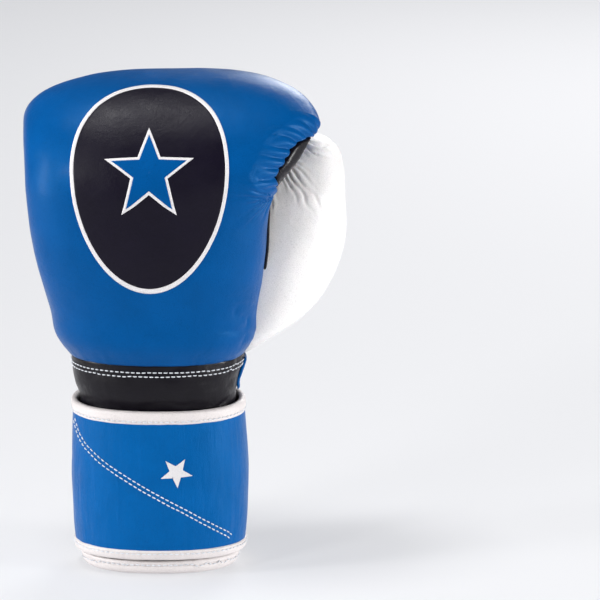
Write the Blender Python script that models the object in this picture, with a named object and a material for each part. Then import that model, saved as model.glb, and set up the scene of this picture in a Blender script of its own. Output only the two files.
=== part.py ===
"""Left-hand boxing glove with a wide hook-and-loop wrist strap, standing on its cuff.

Frame: +Z runs from the wrist to the knuckles, +X is the thumb side and -Y is the back of the
hand.  The mitt is a tube that runs up from the cuff and then hooks over a pivot line, so that
its closed end comes down in front of the palm.  Dimensions below are in millimetres and become
metres when a mesh is made.
"""

import math

import bmesh
import bpy
from mathutils import Vector

METRES = 0.001

# Shapes are worked out from the middle of the cuff.  The part's origin is the middle of the
# base of its box, which lies this far from there.
ORIGIN = Vector((15.8, 13.0, 0.0))

# The hook: centre of the bend and the lengths along the tube at which it bends and ends.
PIVOT_Y = 13.0
PIVOT_Z = 240.0
BEND_START = PIVOT_Z
BEND_END = BEND_START + 180.0
ROUND_START = BEND_END + 10.0
TUBE_END = BEND_END + 46.0
ROLL_SHARE = 0.25

# The tube: place along it, pinky side x, middle x, thumb side x, outer reach, inner reach,
# squareness towards the pinky, squareness towards the thumb, slant of the thumb end.
TUBE = (
    (0.0, -46.0, 0.0, 46.0, 49.0, -20.5, 2.3, 2.3, 0.0),
    (12.0, -49.0, 0.0, 49.0, 50.5, -21.0, 2.3, 2.3, 0.0),
    (60.0, -50.5, 0.0, 50.5, 51.5, -21.5, 2.3, 2.3, 0.0),
    (106.0, -50.5, 0.0, 48.5, 52.0, -22.5, 2.3, 2.3, 0.0),
    (118.0, -52.0, 0.0, 47.5, 54.0, -24.5, 2.3, 2.3, 0.0),
    (134.0, -56.0, 0.0, 53.0, 56.0, -24.0, 2.3, 2.3, 0.0),
    (160.0, -66.0, 0.0, 60.0, 62.0, -19.0, 2.3, 2.3, 0.0),
    (200.0, -77.0, 0.0, 66.0, 68.0, -7.0, 2.3, 2.4, 0.0),
    (240.0, -82.0, 4.0, 71.0, 70.0, 3.0, 2.3, 2.5, 0.1),
    (270.0, -83.0, 12.0, 89.0, 70.0, 3.0, 2.3, 2.6, 0.4),
    (300.0, -84.0, 15.0, 98.5, 70.0, 3.0, 2.3, 2.8, 0.55),
    (330.0, -84.5, 15.0, 92.0, 70.0, 3.0, 2.3, 2.8, 0.55),
    (360.0, -84.5, 5.0, 74.0, 70.0, 3.0, 2.3, 2.7, 0.45),
    (390.0, -84.5, -10.0, 54.0, 70.0, 3.0, 2.3, 2.6, 0.3),
    (420.0, -84.0, -20.0, 38.0, 70.0, 3.0, 2.3, 2.5, 0.1),
    (466.0, -79.0, -25.0, 28.0, 68.0, 12.0, 2.3, 2.4, 0.0),
)

# Wall of the tube from leather to hand space: place, at the outer side, at the inner side,
# at the pinky end and at the thumb end of the ring.
WALL = (
    (0.0, 10.0, 10.0, 10.0, 10.0),
    (112.0, 10.0, 9.0, 10.0, 10.0),
    (134.0, 15.0, 6.6, 11.0, 11.0),
    (160.0, 22.0, 5.6, 12.0, 12.0),
    (200.0, 27.0, 5.6, 13.0, 13.0),
    (240.0, 28.0, 5.6, 14.0, 20.0),
    (300.0, 28.0, 5.6, 14.0, 36.0),
    (360.0, 28.0, 5.6, 14.0, 30.0),
    (466.0, 22.0, 5.6, 13.0, 13.0),
)
END_WALL = 18.0

# The thumb: height, inner x, outer x, back y, palm y.
THUMB = (
    (131.0, 47.0, 54.0, 6.0, 24.0),
    (140.0, 41.0, 66.0, -10.0, 38.0),
    (154.0, 36.0, 88.0, -16.0, 47.0),
    (170.0, 32.0, 103.0, -18.0, 53.0),
    (200.0, 30.0, 115.0, -16.0, 58.0),
    (230.0, 36.0, 115.5, -8.0, 61.0),
    (248.0, 47.0, 114.0, 2.0, 60.0),
    (258.0, 60.0, 109.0, 11.0, 55.0),
    (263.5, 76.0, 99.0, 23.0, 46.0),
    (264.6, 87.0, 88.5, 34.0, 35.5),
)
THUMB_SQUARENESS = 2.3
THUMB_WALL = 12.0

# Thicknesses inside a wall.
LEATHER = 1.8
LINING = 1.2
CLEAR = 0.4
SKIN = (0.0, 0.0)
SKIN_BACK = (LEATHER, 0.0)
FOAM_FRONT = (LEATHER + CLEAR, 0.0)
FOAM_SPLIT_FRONT = (LEATHER + CLEAR, 0.55)
FOAM_SPLIT_BACK = (LEATHER + 2 * CLEAR, 0.55)
FOAM_BACK = (LEATHER + 2 * CLEAR, 1.0)
LINING_FRONT = (LEATHER + 3 * CLEAR, 1.0)
HAND_SPACE = (LEATHER + 3 * CLEAR + LINING, 1.0)
FIXED_WALL = LEATHER + 3 * CLEAR + LINING

# Heights on the cuff and wrist.
RIM_TOP = 9.0
RIM_FLOOR = 3.0
CUFF_TOP = 118.0
SHELL_HEM = 134.0
STRAP_BOTTOM = 10.5
STRAP_TOP = 106.0
BINDING = 3.4

# Angles around the tube: 0 at the thumb side, 90 at the back of the hand, 180 at the pinky.
PINKY_SEAM = 205.0
SEAM_GAP = 1.0
THUMB_SEAM = -4.0
EAR_SEAM = -45.0
WEB_SEAM = -63.0
WRIST_SEAM = -25.0

# Slit and placket in the palm, as x and z on the palm face.
SLIT_X = -13.0
SLIT_HALF_TOP = 10.0
SLIT_HALF_FOOT = 5.0
SLIT_TOP = 181.0
SLIT_BINDING = 6.0
GUSSET_LAYERS = ((2.05, 0.35), (2.75, 0.45))
GUSSET_LEVEL = 60.0
PLACKET_TOP = 196.0
PLACKET_HALF_TOP = 20.0
PLACKET_HALF_FOOT = 27.0
PLACKET_ARCH = 10.0
MESH_HALF = 45.0
MESH_TOP = BEND_START - 1.0
MESH_TOP_SHARE = 0.6
LOWER_PALM_RISE = 3.0

# Strap layers over the palm side of the cuff, measured outwards from the cuff's leather.
TAB_LAYER = (1.0, 2.8)
LOOP_LAYER = (3.1, 3.8)
HOOK_LAYER = (4.1, 4.9)
FLAP_LAYER = (5.2, 7.6)
STRAP_LAYER = (0.8, 3.6)
FLAP_HINGE_ANGLE = -58.0
FLAP_FOLD_ANGLE = -102.0
FLAP_END_ANGLE = -153.0
TAB_END_ANGLE = -88.0
TAB_HINGE_ANGLE = -152.0
FLAP_CORNER = 12.0
TAB_CORNER = 8.0
HOOK_ANGLES = (-106.0, -144.0)
HOOK_HEIGHTS = (26.0, 78.0)
LOOP_ANGLES = (-96.0, -147.0)
LOOP_HEIGHTS = (22.0, 82.0)
DEGREES_PER_MM = 1.1
FOLD_GAP = 0.4
PIVOT_HEIGHT = 55.0

# Wrist tab on the thumb side: angles, heights and distances from the leather.
WRIST_TAB_ANGLES = (-12.0, 6.0)
WRIST_TAB_HEIGHTS = (112.0, 120.0, 127.0, 131.5)
WRIST_TAB_LAYER = (0.5, 2.2)

COLOURS = {
    "blue_leather": ((0.02, 0.13, 0.42, 1.0), 0.42),
    "strap_leather": ((0.03, 0.19, 0.50, 1.0), 0.40),
    "black_leather": ((0.014, 0.012, 0.022, 1.0), 0.38),
    "white_leather": ((0.82, 0.80, 0.77, 1.0), 0.45),
    "white_binding": ((0.85, 0.84, 0.82, 1.0), 0.50),
    "grey_mesh": ((0.62, 0.64, 0.66, 1.0), 0.80),
    "foam": ((0.30, 0.30, 0.32, 1.0), 0.90),
    "soft_foam": ((0.55, 0.52, 0.46, 1.0), 0.90),
    "lining_cloth": ((0.02, 0.02, 0.025, 1.0), 0.85),
    "hook_tape": ((0.03, 0.03, 0.03, 1.0), 0.80),
    "bar_rubber": ((0.05, 0.05, 0.05, 1.0), 0.70),
}


def clear_scene():
    for item in list(bpy.data.objects):
        bpy.data.objects.remove(item, do_unlink=True)


def material(name):
    """The named Principled material, made once."""
    found = bpy.data.materials.get(name)
    if found:
        return found
    colour, roughness = COLOURS[name]
    made = bpy.data.materials.new(name)
    made.use_nodes = True
    shader = made.node_tree.nodes["Principled BSDF"]
    shader.inputs["Base Color"].default_value = colour
    shader.inputs["Roughness"].default_value = roughness
    shader.inputs["Metallic"].default_value = 0.0
    made.diffuse_color = colour
    return made


def smooth_step(low, high, value):
    share = min(1.0, max(0.0, (value - low) / (high - low)))
    return share * share * (3.0 - 2.0 * share)


def mix(first, second, share):
    return first + (second - first) * share


def read_table(table, place):
    """Smooth values of a table at a place, by cubic pieces through its rows."""
    last = len(table) - 1
    place = min(max(place, table[0][0]), table[last][0])
    row = 0
    while row < last - 1 and place > table[row + 1][0]:
        row += 1
    before, start = table[max(row - 1, 0)], table[row]
    end, after = table[row + 1], table[min(row + 2, last)]
    span = end[0] - start[0]
    share = (place - start[0]) / span
    square, cube = share ** 2, share ** 3
    values = []
    for column in range(1, len(start)):
        slope_in = (end[column] - before[column]) / (end[0] - before[0]) * span
        slope_out = (after[column] - start[column]) / (after[0] - start[0]) * span
        values.append((2 * cube - 3 * square + 1) * start[column]
                      + (cube - 2 * square + share) * slope_in
                      + (3 * square - 2 * cube) * end[column]
                      + (cube - square) * slope_out)
    return values


def steps(first, last, count):
    """Evenly spaced values from first to last, both included."""
    return [mix(first, last, number / (count - 1)) for number in range(count)]


# ---------------------------------------------------------------- the tube of the mitt

def wall_insets(place, layer):
    """How far a layer lies inside the leather: outer, inner, pinky end, thumb end, closed tip."""
    fixed, share = layer
    walls = read_table(WALL, place) + [END_WALL]
    return [fixed + share * max(0.0, thickness - FIXED_WALL) for thickness in walls]


def tube_ring(place, layer):
    """Ring at a place along the tube: x limits and middle, reaches, squareness, slant."""
    outer_in, inner_in, pinky_in, thumb_in, tip_in = wall_insets(place, layer)
    if place > ROUND_START:
        tip = TUBE_END - tip_in
        place = mix(ROUND_START, tip, (place - ROUND_START) / (TUBE_END - ROUND_START))
        through = (place - ROUND_START) / (tip - ROUND_START)
        thick = math.sqrt(max(0.0, 1.0 - through ** 2))
    else:
        thick = 1.0
    pinky, middle, thumb, outer, inner, power_p, power_t, slant = read_table(TUBE, place)
    outer -= outer_in
    inner += inner_in
    roll = mix(inner, outer, ROLL_SHARE)
    outer = mix(roll, outer, max(thick, 0.03))
    inner = mix(roll, inner, max(thick, 0.03))
    keep = mix(0.3, 1.0, thick)
    pinky = middle + (pinky + pinky_in - middle) * keep
    thumb = middle + (thumb - thumb_in - middle) * keep
    return place, pinky, middle, thumb, outer, inner, power_p, power_t, slant


def undercut(slant, level):
    """How far the thumb end of a ring draws in towards the fold, where the thumb tucks in."""
    return mix(1.0 - slant, 1.0, smooth_step(-0.5, 0.35, level))


def tube_point(place, angle, layer=SKIN):
    """Point of a layer of the mitt at a place along the tube and an angle around it."""
    place, pinky, middle, thumb, outer, inner, power_p, power_t, slant = tube_ring(place, layer)
    across, up = math.cos(math.radians(angle)), math.sin(math.radians(angle))
    power = power_t if across > 0 else power_p
    radius = (abs(across) ** power + abs(up) ** power) ** (-1.0 / power)
    level = radius * up
    half = thumb - middle if across > 0 else middle - pinky
    if across > 0:
        half *= undercut(slant, level)
    x = middle + half * radius * across
    reach = mix(inner, outer, (level + 1.0) / 2.0)
    return Vector((x, *spine(place, reach)))


def spine(place, reach):
    """Y and Z of the point that lies at a reach from the tube's spine."""
    if place <= BEND_START:
        return PIVOT_Y - reach, place
    if place < BEND_END:
        turn = math.radians(place - BEND_START)
        return PIVOT_Y - reach * math.cos(turn), PIVOT_Z + reach * math.sin(turn)
    return PIVOT_Y + reach, PIVOT_Z - (place - BEND_END)


def palm_point(x, z, layer=SKIN):
    """Point of a layer on the palm face below the bend, at an x and a height."""
    _, pinky, middle, thumb, outer, inner, power_p, power_t, slant = tube_ring(z, layer)
    power = power_t if x > middle else power_p
    level = -1.0
    for _ in range(6):
        half = thumb - middle if x > middle else middle - pinky
        if x > middle:
            half *= undercut(slant, level)
        share = min(0.999, abs((x - middle) / half))
        level = -(1.0 - share ** power) ** (1.0 / power)
    reach = mix(inner, outer, (level + 1.0) / 2.0)
    return Vector((x, PIVOT_Y - reach, z))


def angle_at(x, z, layer=SKIN):
    """Angle on the palm side of the ring at a height whose point has the given x."""
    low, high = -180.0, 0.0
    for _ in range(40):
        trial = (low + high) / 2.0
        if tube_point(z, trial, layer).x < x:
            low = trial
        else:
            high = trial
    return low


def cuff_point(angle, z, proud):
    """Point at a distance outside the cuff's leather, at an angle and a height."""
    point = tube_point(z, angle)
    ahead, behind = tube_point(z, angle + 1.0), tube_point(z, angle - 1.0)
    along = (ahead - behind).normalized()
    return point + Vector((0.0, 0.0, 1.0)).cross(along) * proud


# ---------------------------------------------------------------- mesh making

def face_outwards(mesh_data):
    bmesh.ops.recalc_face_normals(mesh_data, faces=mesh_data.faces)
    if mesh_data.calc_volume(signed=True) < 0:
        bmesh.ops.reverse_faces(mesh_data, faces=mesh_data.faces)


def finish(name, mesh_data, colour):
    """Object of one closed mesh, with its faces pointing out and round faces smooth."""
    for vertex in mesh_data.verts:
        vertex.co = (vertex.co - ORIGIN) * METRES
    face_outwards(mesh_data)
    mesh = bpy.data.meshes.new(name)
    mesh_data.to_mesh(mesh)
    mesh_data.free()
    mesh.shade_smooth()
    mesh.set_sharp_from_angle(angle=math.radians(40.0))
    mesh.materials.append(material(colour))
    made = bpy.data.objects.new(name, mesh)
    bpy.context.collection.objects.link(made)
    return made


def block(name, colour, front, back, rows, columns):
    """Closed slab between two surfaces, each a function of a row value and a column value."""
    data = bmesh.new()
    sheets = [[[data.verts.new(surface(row, column)) for column in columns] for row in rows]
              for surface in (front, back)]
    last_row, last_column = len(rows) - 1, len(columns) - 1
    for sheet in sheets:
        for i in range(last_row):
            for j in range(last_column):
                data.faces.new((sheet[i][j], sheet[i][j + 1], sheet[i + 1][j + 1], sheet[i + 1][j]))
    top, under = sheets
    for i in range(last_row):
        for j in (0, last_column):
            data.faces.new((top[i][j], top[i + 1][j], under[i + 1][j], under[i][j]))
    for j in range(last_column):
        for i in (0, last_row):
            data.faces.new((top[i][j], top[i][j + 1], under[i][j + 1], under[i][j]))
    return finish(name, data, colour)


def sleeve(name, colour, front, back, rows, columns):
    """Slab between two surfaces that runs all the way round in its columns."""
    data = bmesh.new()
    sheets = [[[data.verts.new(surface(row, column)) for column in columns] for row in rows]
              for surface in (front, back)]
    count, last_row = len(columns), len(rows) - 1
    for sheet in sheets:
        for i in range(last_row):
            for j in range(count):
                k = (j + 1) % count
                data.faces.new((sheet[i][j], sheet[i][k], sheet[i + 1][k], sheet[i + 1][j]))
    for i in (0, last_row):
        for j in range(count):
            k = (j + 1) % count
            data.faces.new((sheets[0][i][j], sheets[0][i][k], sheets[1][i][k], sheets[1][i][j]))
    return finish(name, data, colour)


def sweep(name, colour, profile, path, point):
    """Closed bar: a profile of (a, b) pairs carried along the path values by point(v, a, b)."""
    data = bmesh.new()
    rings = [[data.verts.new(point(value, a, b)) for a, b in profile] for value in path]
    count = len(profile)
    for one, two in zip(rings, rings[1:]):
        for j in range(count):
            k = (j + 1) % count
            data.faces.new((one[j], one[k], two[k], two[j]))
    data.faces.new(rings[0])
    data.faces.new(rings[-1])
    return finish(name, data, colour)


def palm_strip(name, colour, first_edge, second_edge, across):
    """Leather slab on the palm face between two edges, each a list of (x, z) pairs."""
    def surface(layer):
        def point(row, column):
            (x1, z1), (x2, z2) = first_edge[row], second_edge[row]
            return palm_point(mix(x1, x2, column), mix(z1, z2, column), layer)
        return point

    rows = list(range(len(first_edge)))
    return block(name, colour, surface(SKIN), surface(SKIN_BACK), rows, steps(0.0, 1.0, across))


# ---------------------------------------------------------------- seams and outlines

def thumb_side_seam(place):
    """Angle of the knuckle shell's edge on the thumb side."""
    edge = mix(THUMB_SEAM, EAR_SEAM, smooth_step(222.0, 262.0, place))
    return mix(edge, WEB_SEAM, smooth_step(385.0, 430.0, place))


def keyhole(half_at, arch_half, arch_z, rise, foot, roundness=1.0):
    """Outline from its foot on the pinky side, up and over the top, to the thumb side foot."""
    leg = [(half_at(z), z) for z in steps(foot, arch_z, 9)]
    turns = [math.radians(angle) for angle in steps(15.0, 165.0, 9)]
    arch = [(SLIT_X - arch_half * math.cos(turn), arch_z + rise * math.sin(turn) ** roundness)
            for turn in turns]
    pinky = [(SLIT_X - half, z) for half, z in leg]
    thumb = [(SLIT_X + half, z) for half, z in reversed(leg)]
    return pinky + arch + thumb


def slit_half(z):
    return mix(SLIT_HALF_FOOT, SLIT_HALF_TOP, smooth_step(70.0, SLIT_TOP - SLIT_HALF_TOP, z))


def slit_outline(widen, foot):
    """Edge of the slit, or a line that lies outside it by the given width."""
    half_top = SLIT_HALF_TOP + widen
    return keyhole(lambda z: slit_half(z) + widen, half_top, SLIT_TOP - SLIT_HALF_TOP,
                   half_top, foot)


def placket_half(z):
    return mix(PLACKET_HALF_FOOT, PLACKET_HALF_TOP, smooth_step(80.0, 190.0, z))


def placket_side(z, side):
    """X of the edge of the leather that lies next to the placket."""
    return SLIT_X + side * (placket_half(z) + CLEAR)


def placket_outline(foot, widen=0.0):
    """Outer edge of the placket, with the same number of points as the slit outline."""
    return keyhole(lambda z: placket_half(z) + widen, PLACKET_HALF_TOP + widen,
                   PLACKET_TOP - PLACKET_ARCH, PLACKET_ARCH + widen, foot, 0.6)


def palm_seam(x):
    """Height of the seam between the lower palm leather and the mesh."""
    return 157.0 + 0.33 * max(0.0, abs(x - SLIT_X) - PLACKET_HALF_TOP)


def pinky_edge(z):
    return tube_point(z, PINKY_SEAM + SEAM_GAP, SKIN_BACK).x + CLEAR


# The trim strip round the base of the thumb: its palm side edge as height, x.
TRIM_EDGE = ((130.0, 39.0), (134.0, 36.0), (151.0, 27.5), (168.0, 25.0), (188.0, 27.0),
             (196.0, 28.0))
TRIM_WIDTH = 7.0


def trim_edge(z):
    return read_table(TRIM_EDGE, z)[0]


# ---------------------------------------------------------------- the mitt

PADDING_END = 0.985
BAR_CENTRE = Vector((-8.0, PIVOT_Y, PIVOT_Z + 18.0))
BAR_HALF = 38.0
BAR_RADIUS = 5.5
BAR_EDGE = 3.0
STRAIGHT_ROWS = [SHELL_HEM + 0.5, 147.0, 160.0, 180.0, 200.0, 220.0]
BEND_ROWS = steps(BEND_START, BEND_END, 10)
TIP_ROWS = [ROUND_START] + [ROUND_START + (TUBE_END - ROUND_START) * math.sin(math.radians(a))
                            for a in (25, 50, 70, 88)]


def tube_block(name, colour, layers, rows, start, end, columns):
    """Slab of the tube's wall between two layers; start and end give the edges' angles."""
    def surface(layer):
        return lambda row, column: tube_point(row, mix(start(row), end(row), column), layer)
    return block(name, colour, surface(layers[0]), surface(layers[1]), rows, columns)


def make_knuckle_side():
    rows = STRAIGHT_ROWS + BEND_ROWS + TIP_ROWS
    short_columns = steps(0.0, 1.0, 14)[:-1] + [PADDING_END]
    columns = short_columns + [1.0]
    foam_rows = [SHELL_HEM + 3.5] + rows[1:]
    lining_rows = [CUFF_TOP + CLEAR, 127.0] + rows
    layers = (("knuckle_shell", "blue_leather", (SKIN, SKIN_BACK), rows),
              ("impact_foam", "foam", (FOAM_FRONT, FOAM_SPLIT_FRONT), foam_rows),
              ("comfort_foam", "soft_foam", (FOAM_SPLIT_BACK, FOAM_BACK), lining_rows),
              ("hand_lining_back", "lining_cloth", (LINING_FRONT, HAND_SPACE), lining_rows))
    for name, colour, layer, places in layers:
        across = columns if layer[0] == SKIN else short_columns
        tube_block(name, colour, layer, places, thumb_side_seam, lambda _: PINKY_SEAM, across)


def make_inner_side():
    first, last = PINKY_SEAM + SEAM_GAP, 360.0 + WEB_SEAM - SEAM_GAP
    rows = BEND_ROWS + TIP_ROWS
    tube_block("curl_inner_panel", "blue_leather", (SKIN, SKIN_BACK), rows,
               lambda _: first, lambda _: last, steps(0.0, 1.0, 8))
    tube_block("thumb_web", "black_leather", (SKIN, SKIN_BACK), BEND_ROWS[:8],
               lambda _: WEB_SEAM, lambda row: thumb_side_seam(row) - 1.5 * SEAM_GAP,
               steps(0.0, 1.0, 4))
    lining_rows = [CUFF_TOP + CLEAR, 127.0] + STRAIGHT_ROWS + rows
    tube_block("palm_lining", "lining_cloth", (LINING_FRONT, HAND_SPACE), lining_rows,
               lambda _: first, lambda _: last, steps(0.0, 1.0, 8))


def make_grip_bar():
    """Padded bar across the fold of the mitt, which the fingers close round."""
    profile = [(-BAR_HALF, BAR_RADIUS - BAR_EDGE), (-BAR_HALF + BAR_EDGE, BAR_RADIUS),
               (BAR_HALF - BAR_EDGE, BAR_RADIUS), (BAR_HALF, BAR_RADIUS - BAR_EDGE)]
    turns = [math.radians(angle) for angle in range(0, 360, 30)]
    round_profile = [(math.cos(turn), math.sin(turn)) for turn in turns]
    sweep("grip_bar", "bar_rubber", round_profile, profile,
          lambda end, a, b: BAR_CENTRE + Vector((end[0], end[1] * a, end[1] * b)))


# ---------------------------------------------------------------- the palm

def make_palm():
    foot = RIM_TOP + 2 * CLEAR
    slit = slit_outline(0.0, foot)
    bound = slit_outline(SLIT_BINDING, foot)
    placket = placket_outline(foot)
    palm_strip("slit_binding", "white_binding", slit, slit_outline(SLIT_BINDING - CLEAR, foot), 3)
    palm_strip("placket", "blue_leather", bound, placket, 4)
    make_mesh()
    make_lower_palm(foot)
    make_trim()
    make_gusset()


def mesh_edges(side):
    """Inner and outer edge of the air mesh on one side of the placket, from low to high."""
    gap = CLEAR + 0.2
    low = palm_seam(SLIT_X) + 1.0
    side_low = palm_seam(SLIT_X + side * MESH_HALF) + 1.0
    inner = [(SLIT_X + side * (placket_half(low) + gap), low)]
    outline = placket_outline(RIM_TOP, gap)
    half = [point for point in outline if (point[0] - SLIT_X) * side >= 0]
    inner += [point for point in half[::-side] if point[1] > low + 3.0]
    outer = []
    for rise in steps(0.0, 1.0 + MESH_TOP_SHARE, len(inner)):
        z = mix(side_low, MESH_TOP, min(1.0, rise))
        x = pinky_edge(z) if side < 0 else trim_edge(min(z, TRIM_EDGE[-1][0])) - gap
        outer.append((mix(x, SLIT_X, max(0.0, rise - 1.0) / MESH_TOP_SHARE), z))
    return inner, outer


def make_mesh():
    """Air mesh above the palm seam: a strip round the placket's top."""
    pinky_in, pinky_out = mesh_edges(-1)
    thumb_in, thumb_out = mesh_edges(1)
    palm_strip("palm_mesh", "grey_mesh", pinky_in + thumb_in[::-1],
               pinky_out + thumb_out[::-1], 5)


def make_lower_palm(foot):
    """Leather below the palm seam, on the pinky side and on the thumb side of the placket."""
    def pinky_side(layer):
        def point(row, column):
            z = mix(foot, palm_seam(mix(pinky_edge(row), placket_side(row, -1), column)),
                    (row - foot) / (palm_seam(SLIT_X) - foot))
            return palm_point(mix(pinky_edge(z), placket_side(z, -1), column), z, layer)
        return point

    def thumb_side(layer):
        def point(row, column):
            z = row + LOWER_PALM_RISE * column * (row - foot) / (palm_seam(SLIT_X) - foot)
            x = tube_point(min(z, CUFF_TOP), WRIST_SEAM - SEAM_GAP, layer).x
            if z > CUFF_TOP:
                x = min(x, trim_edge(z) - CLEAR)
            return palm_point(mix(placket_side(z, 1), x, column), z, layer)
        return point

    top, columns = palm_seam(SLIT_X), steps(0.0, 1.0, 5)
    for name, side, count in (("pinky", pinky_side, 9), ("thumb", thumb_side, 15)):
        block("lower_palm_" + name, "black_leather", side(SKIN), side(SKIN_BACK),
              steps(foot, top, count), columns)


def make_trim():
    heights = steps(TRIM_EDGE[0][0] + 1.0, TRIM_EDGE[-1][0], 12)
    first, second = [], []
    for z in heights:
        slope = trim_edge(z + 0.5) - trim_edge(z - 0.5)
        length = math.hypot(slope, 1.0)
        first.append((trim_edge(z), z))
        second.append((trim_edge(z) + TRIM_WIDTH / length, z - slope * TRIM_WIDTH / length))
    palm_strip("thumb_trim", "blue_leather", first, second, 3)


def make_gusset():
    """Stretch cloth that closes the slit, set back behind its edges."""
    def edge(side):
        def angle(z):
            spread = smooth_step(CUFF_TOP, SLIT_TOP - SLIT_HALF_TOP, z)
            half = mix(SLIT_HALF_FOOT, SLIT_HALF_TOP, spread) - CLEAR
            return angle_at(SLIT_X + side * half, max(z, GUSSET_LEVEL))
        return angle

    heights = [4.0, 12.0, 40.0, 80.0, STRAP_TOP, CUFF_TOP, SHELL_HEM, 150.0, 173.0]
    tube_block("slit_gusset", "lining_cloth", GUSSET_LAYERS, heights, edge(-1), edge(1),
               [0.0, 0.5, 1.0])


# ---------------------------------------------------------------- the cuff

def cuff_angles():
    """Angles of the two edges of the slit at the cuff, going round by the back."""
    start = angle_at(SLIT_X + SLIT_HALF_FOOT + CLEAR, 60.0)
    end = angle_at(SLIT_X - SLIT_HALF_FOOT - CLEAR, 60.0) + 360.0
    return start, end


def make_cuff():
    start, end = cuff_angles()

    def rim(angle, share, z):
        outside, inside = tube_point(z, angle, SKIN), tube_point(z, angle, HAND_SPACE)
        return outside.lerp(inside, share)

    profile = [(-0.06, 0.0), (-0.06, RIM_TOP), (0.18, RIM_TOP), (0.18, RIM_FLOOR),
               (0.88, RIM_FLOOR), (0.88, RIM_TOP), (1.04, RIM_TOP), (1.04, 0.0)]
    sweep("cuff_binding", "white_binding", profile, steps(start, end, 25), rim)
    rows = [RIM_FLOOR + CLEAR, 12.0, 40.0, 80.0, 106.0, CUFF_TOP - 6.0]
    columns = steps(0.0, 1.0, 25)
    tube_block("cuff_foam", "soft_foam", (FOAM_FRONT, FOAM_BACK), rows,
               lambda _: start, lambda _: end, columns)
    tube_block("cuff_lining", "lining_cloth", (LINING_FRONT, HAND_SPACE),
               [RIM_TOP + 4 * CLEAR] + rows[2:-1] + [CUFF_TOP],
               lambda _: start, lambda _: end, columns)
    wrist_rows = [RIM_TOP + 2 * CLEAR, 30.0, 60.0, 90.0, 106.0, 118.0, SHELL_HEM]
    tube_block("wrist_panel_back", "black_leather", (SKIN, SKIN_BACK), wrist_rows,
               lambda _: WRIST_SEAM, lambda _: PINKY_SEAM, steps(0.0, 1.0, 17))
    inside, outside = WRIST_TAB_LAYER
    block("wrist_tab", "blue_leather", lambda z, angle: cuff_point(angle, z, outside),
          lambda z, angle: cuff_point(angle, z, inside), WRIST_TAB_HEIGHTS,
          steps(*WRIST_TAB_ANGLES, 4))


# ---------------------------------------------------------------- the strap

def flap_top(angle):
    """Top edge of the flap, which drops towards its free end."""
    return mix(101.0, 89.0, (angle - FLAP_HINGE_ANGLE) / (FLAP_END_ANGLE - FLAP_HINGE_ANGLE))


def tab_top(angle):
    """Top edge of the inner tab, which drops from the pinky side to the middle."""
    share = (angle - TAB_HINGE_ANGLE) / (TAB_END_ANGLE - TAB_HINGE_ANGLE)
    return mix(109.0, 93.0, share)


def band_block(name, colour, layer, angles, low, high, rows=3):
    """Slab that follows the cuff between two distances from it and two heights."""
    def surface(proud):
        return lambda row, angle: cuff_point(angle, mix(low(angle), high(angle), row), proud)
    return block(name, colour, surface(layer[1]), surface(layer[0]), steps(0.0, 1.0, rows), angles)


def make_strap():
    angles = steps(FLAP_HINGE_ANGLE + 1.0, 360.0 + TAB_HINGE_ANGLE - 1.0, 25)
    edge = BINDING + CLEAR
    band_block("strap_back", "strap_leather", STRAP_LAYER, angles,
               lambda _: STRAP_BOTTOM + edge, lambda _: STRAP_TOP - edge)
    band_block("strap_top_binding", "white_binding", STRAP_LAYER, angles,
               lambda _: STRAP_TOP - BINDING, lambda _: STRAP_TOP, 2)
    band_block("strap_bottom_binding", "white_binding", STRAP_LAYER, angles,
               lambda _: STRAP_BOTTOM, lambda _: STRAP_BOTTOM + BINDING, 2)


def corner_cut(angle, end, radius):
    """How much a corner of the given radius takes off the height near the free end."""
    left = abs(angle - end) / DEGREES_PER_MM
    if left >= radius:
        return 0.0
    return radius * (1.0 - math.sqrt(1.0 - (1.0 - left / radius) ** 2))


def open_end_parts(name, colour, layer, start, end, top, corner):
    """A flap's leather and the binding that runs along its top, round its end and back."""
    sign = 1.0 if end > start else -1.0
    edge = BINDING + CLEAR

    def stop(inset):
        return end - sign * inset * DEGREES_PER_MM

    def low(angle, inset):
        return STRAP_BOTTOM + inset + corner_cut(angle, stop(inset), corner - inset)

    def high(angle, inset):
        return top(angle) - inset - corner_cut(angle, stop(inset), corner - inset)

    def along(inset, radius):
        """Angles of the columns, close together where the corners curve."""
        curve = [stop(inset) - sign * radius * DEGREES_PER_MM * share
                 for share in (1.0, 0.6, 0.3, 0.1, 0.0)]
        return steps(start, curve[0], 6)[:-1] + curve

    def outline(inset):
        angles = along(inset, corner - inset)
        upper = [(angle, high(angle, inset)) for angle in angles]
        return upper + [(angle, low(angle, inset)) for angle in reversed(angles)]

    band_block(name, colour, layer, along(edge, corner), lambda a: low(a, edge),
               lambda a: high(a, edge), 4)
    outer, inner = outline(0.0), outline(BINDING)

    def surface(proud):
        def point(row, column):
            (angle_1, z_1), (angle_2, z_2) = outer[row], inner[row]
            return cuff_point(mix(angle_1, angle_2, column), mix(z_1, z_2, column), proud)
        return point

    block(name + "_binding", "white_binding", surface(layer[1]), surface(layer[0]),
          list(range(len(outer))), [0.0, 1.0])


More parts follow.
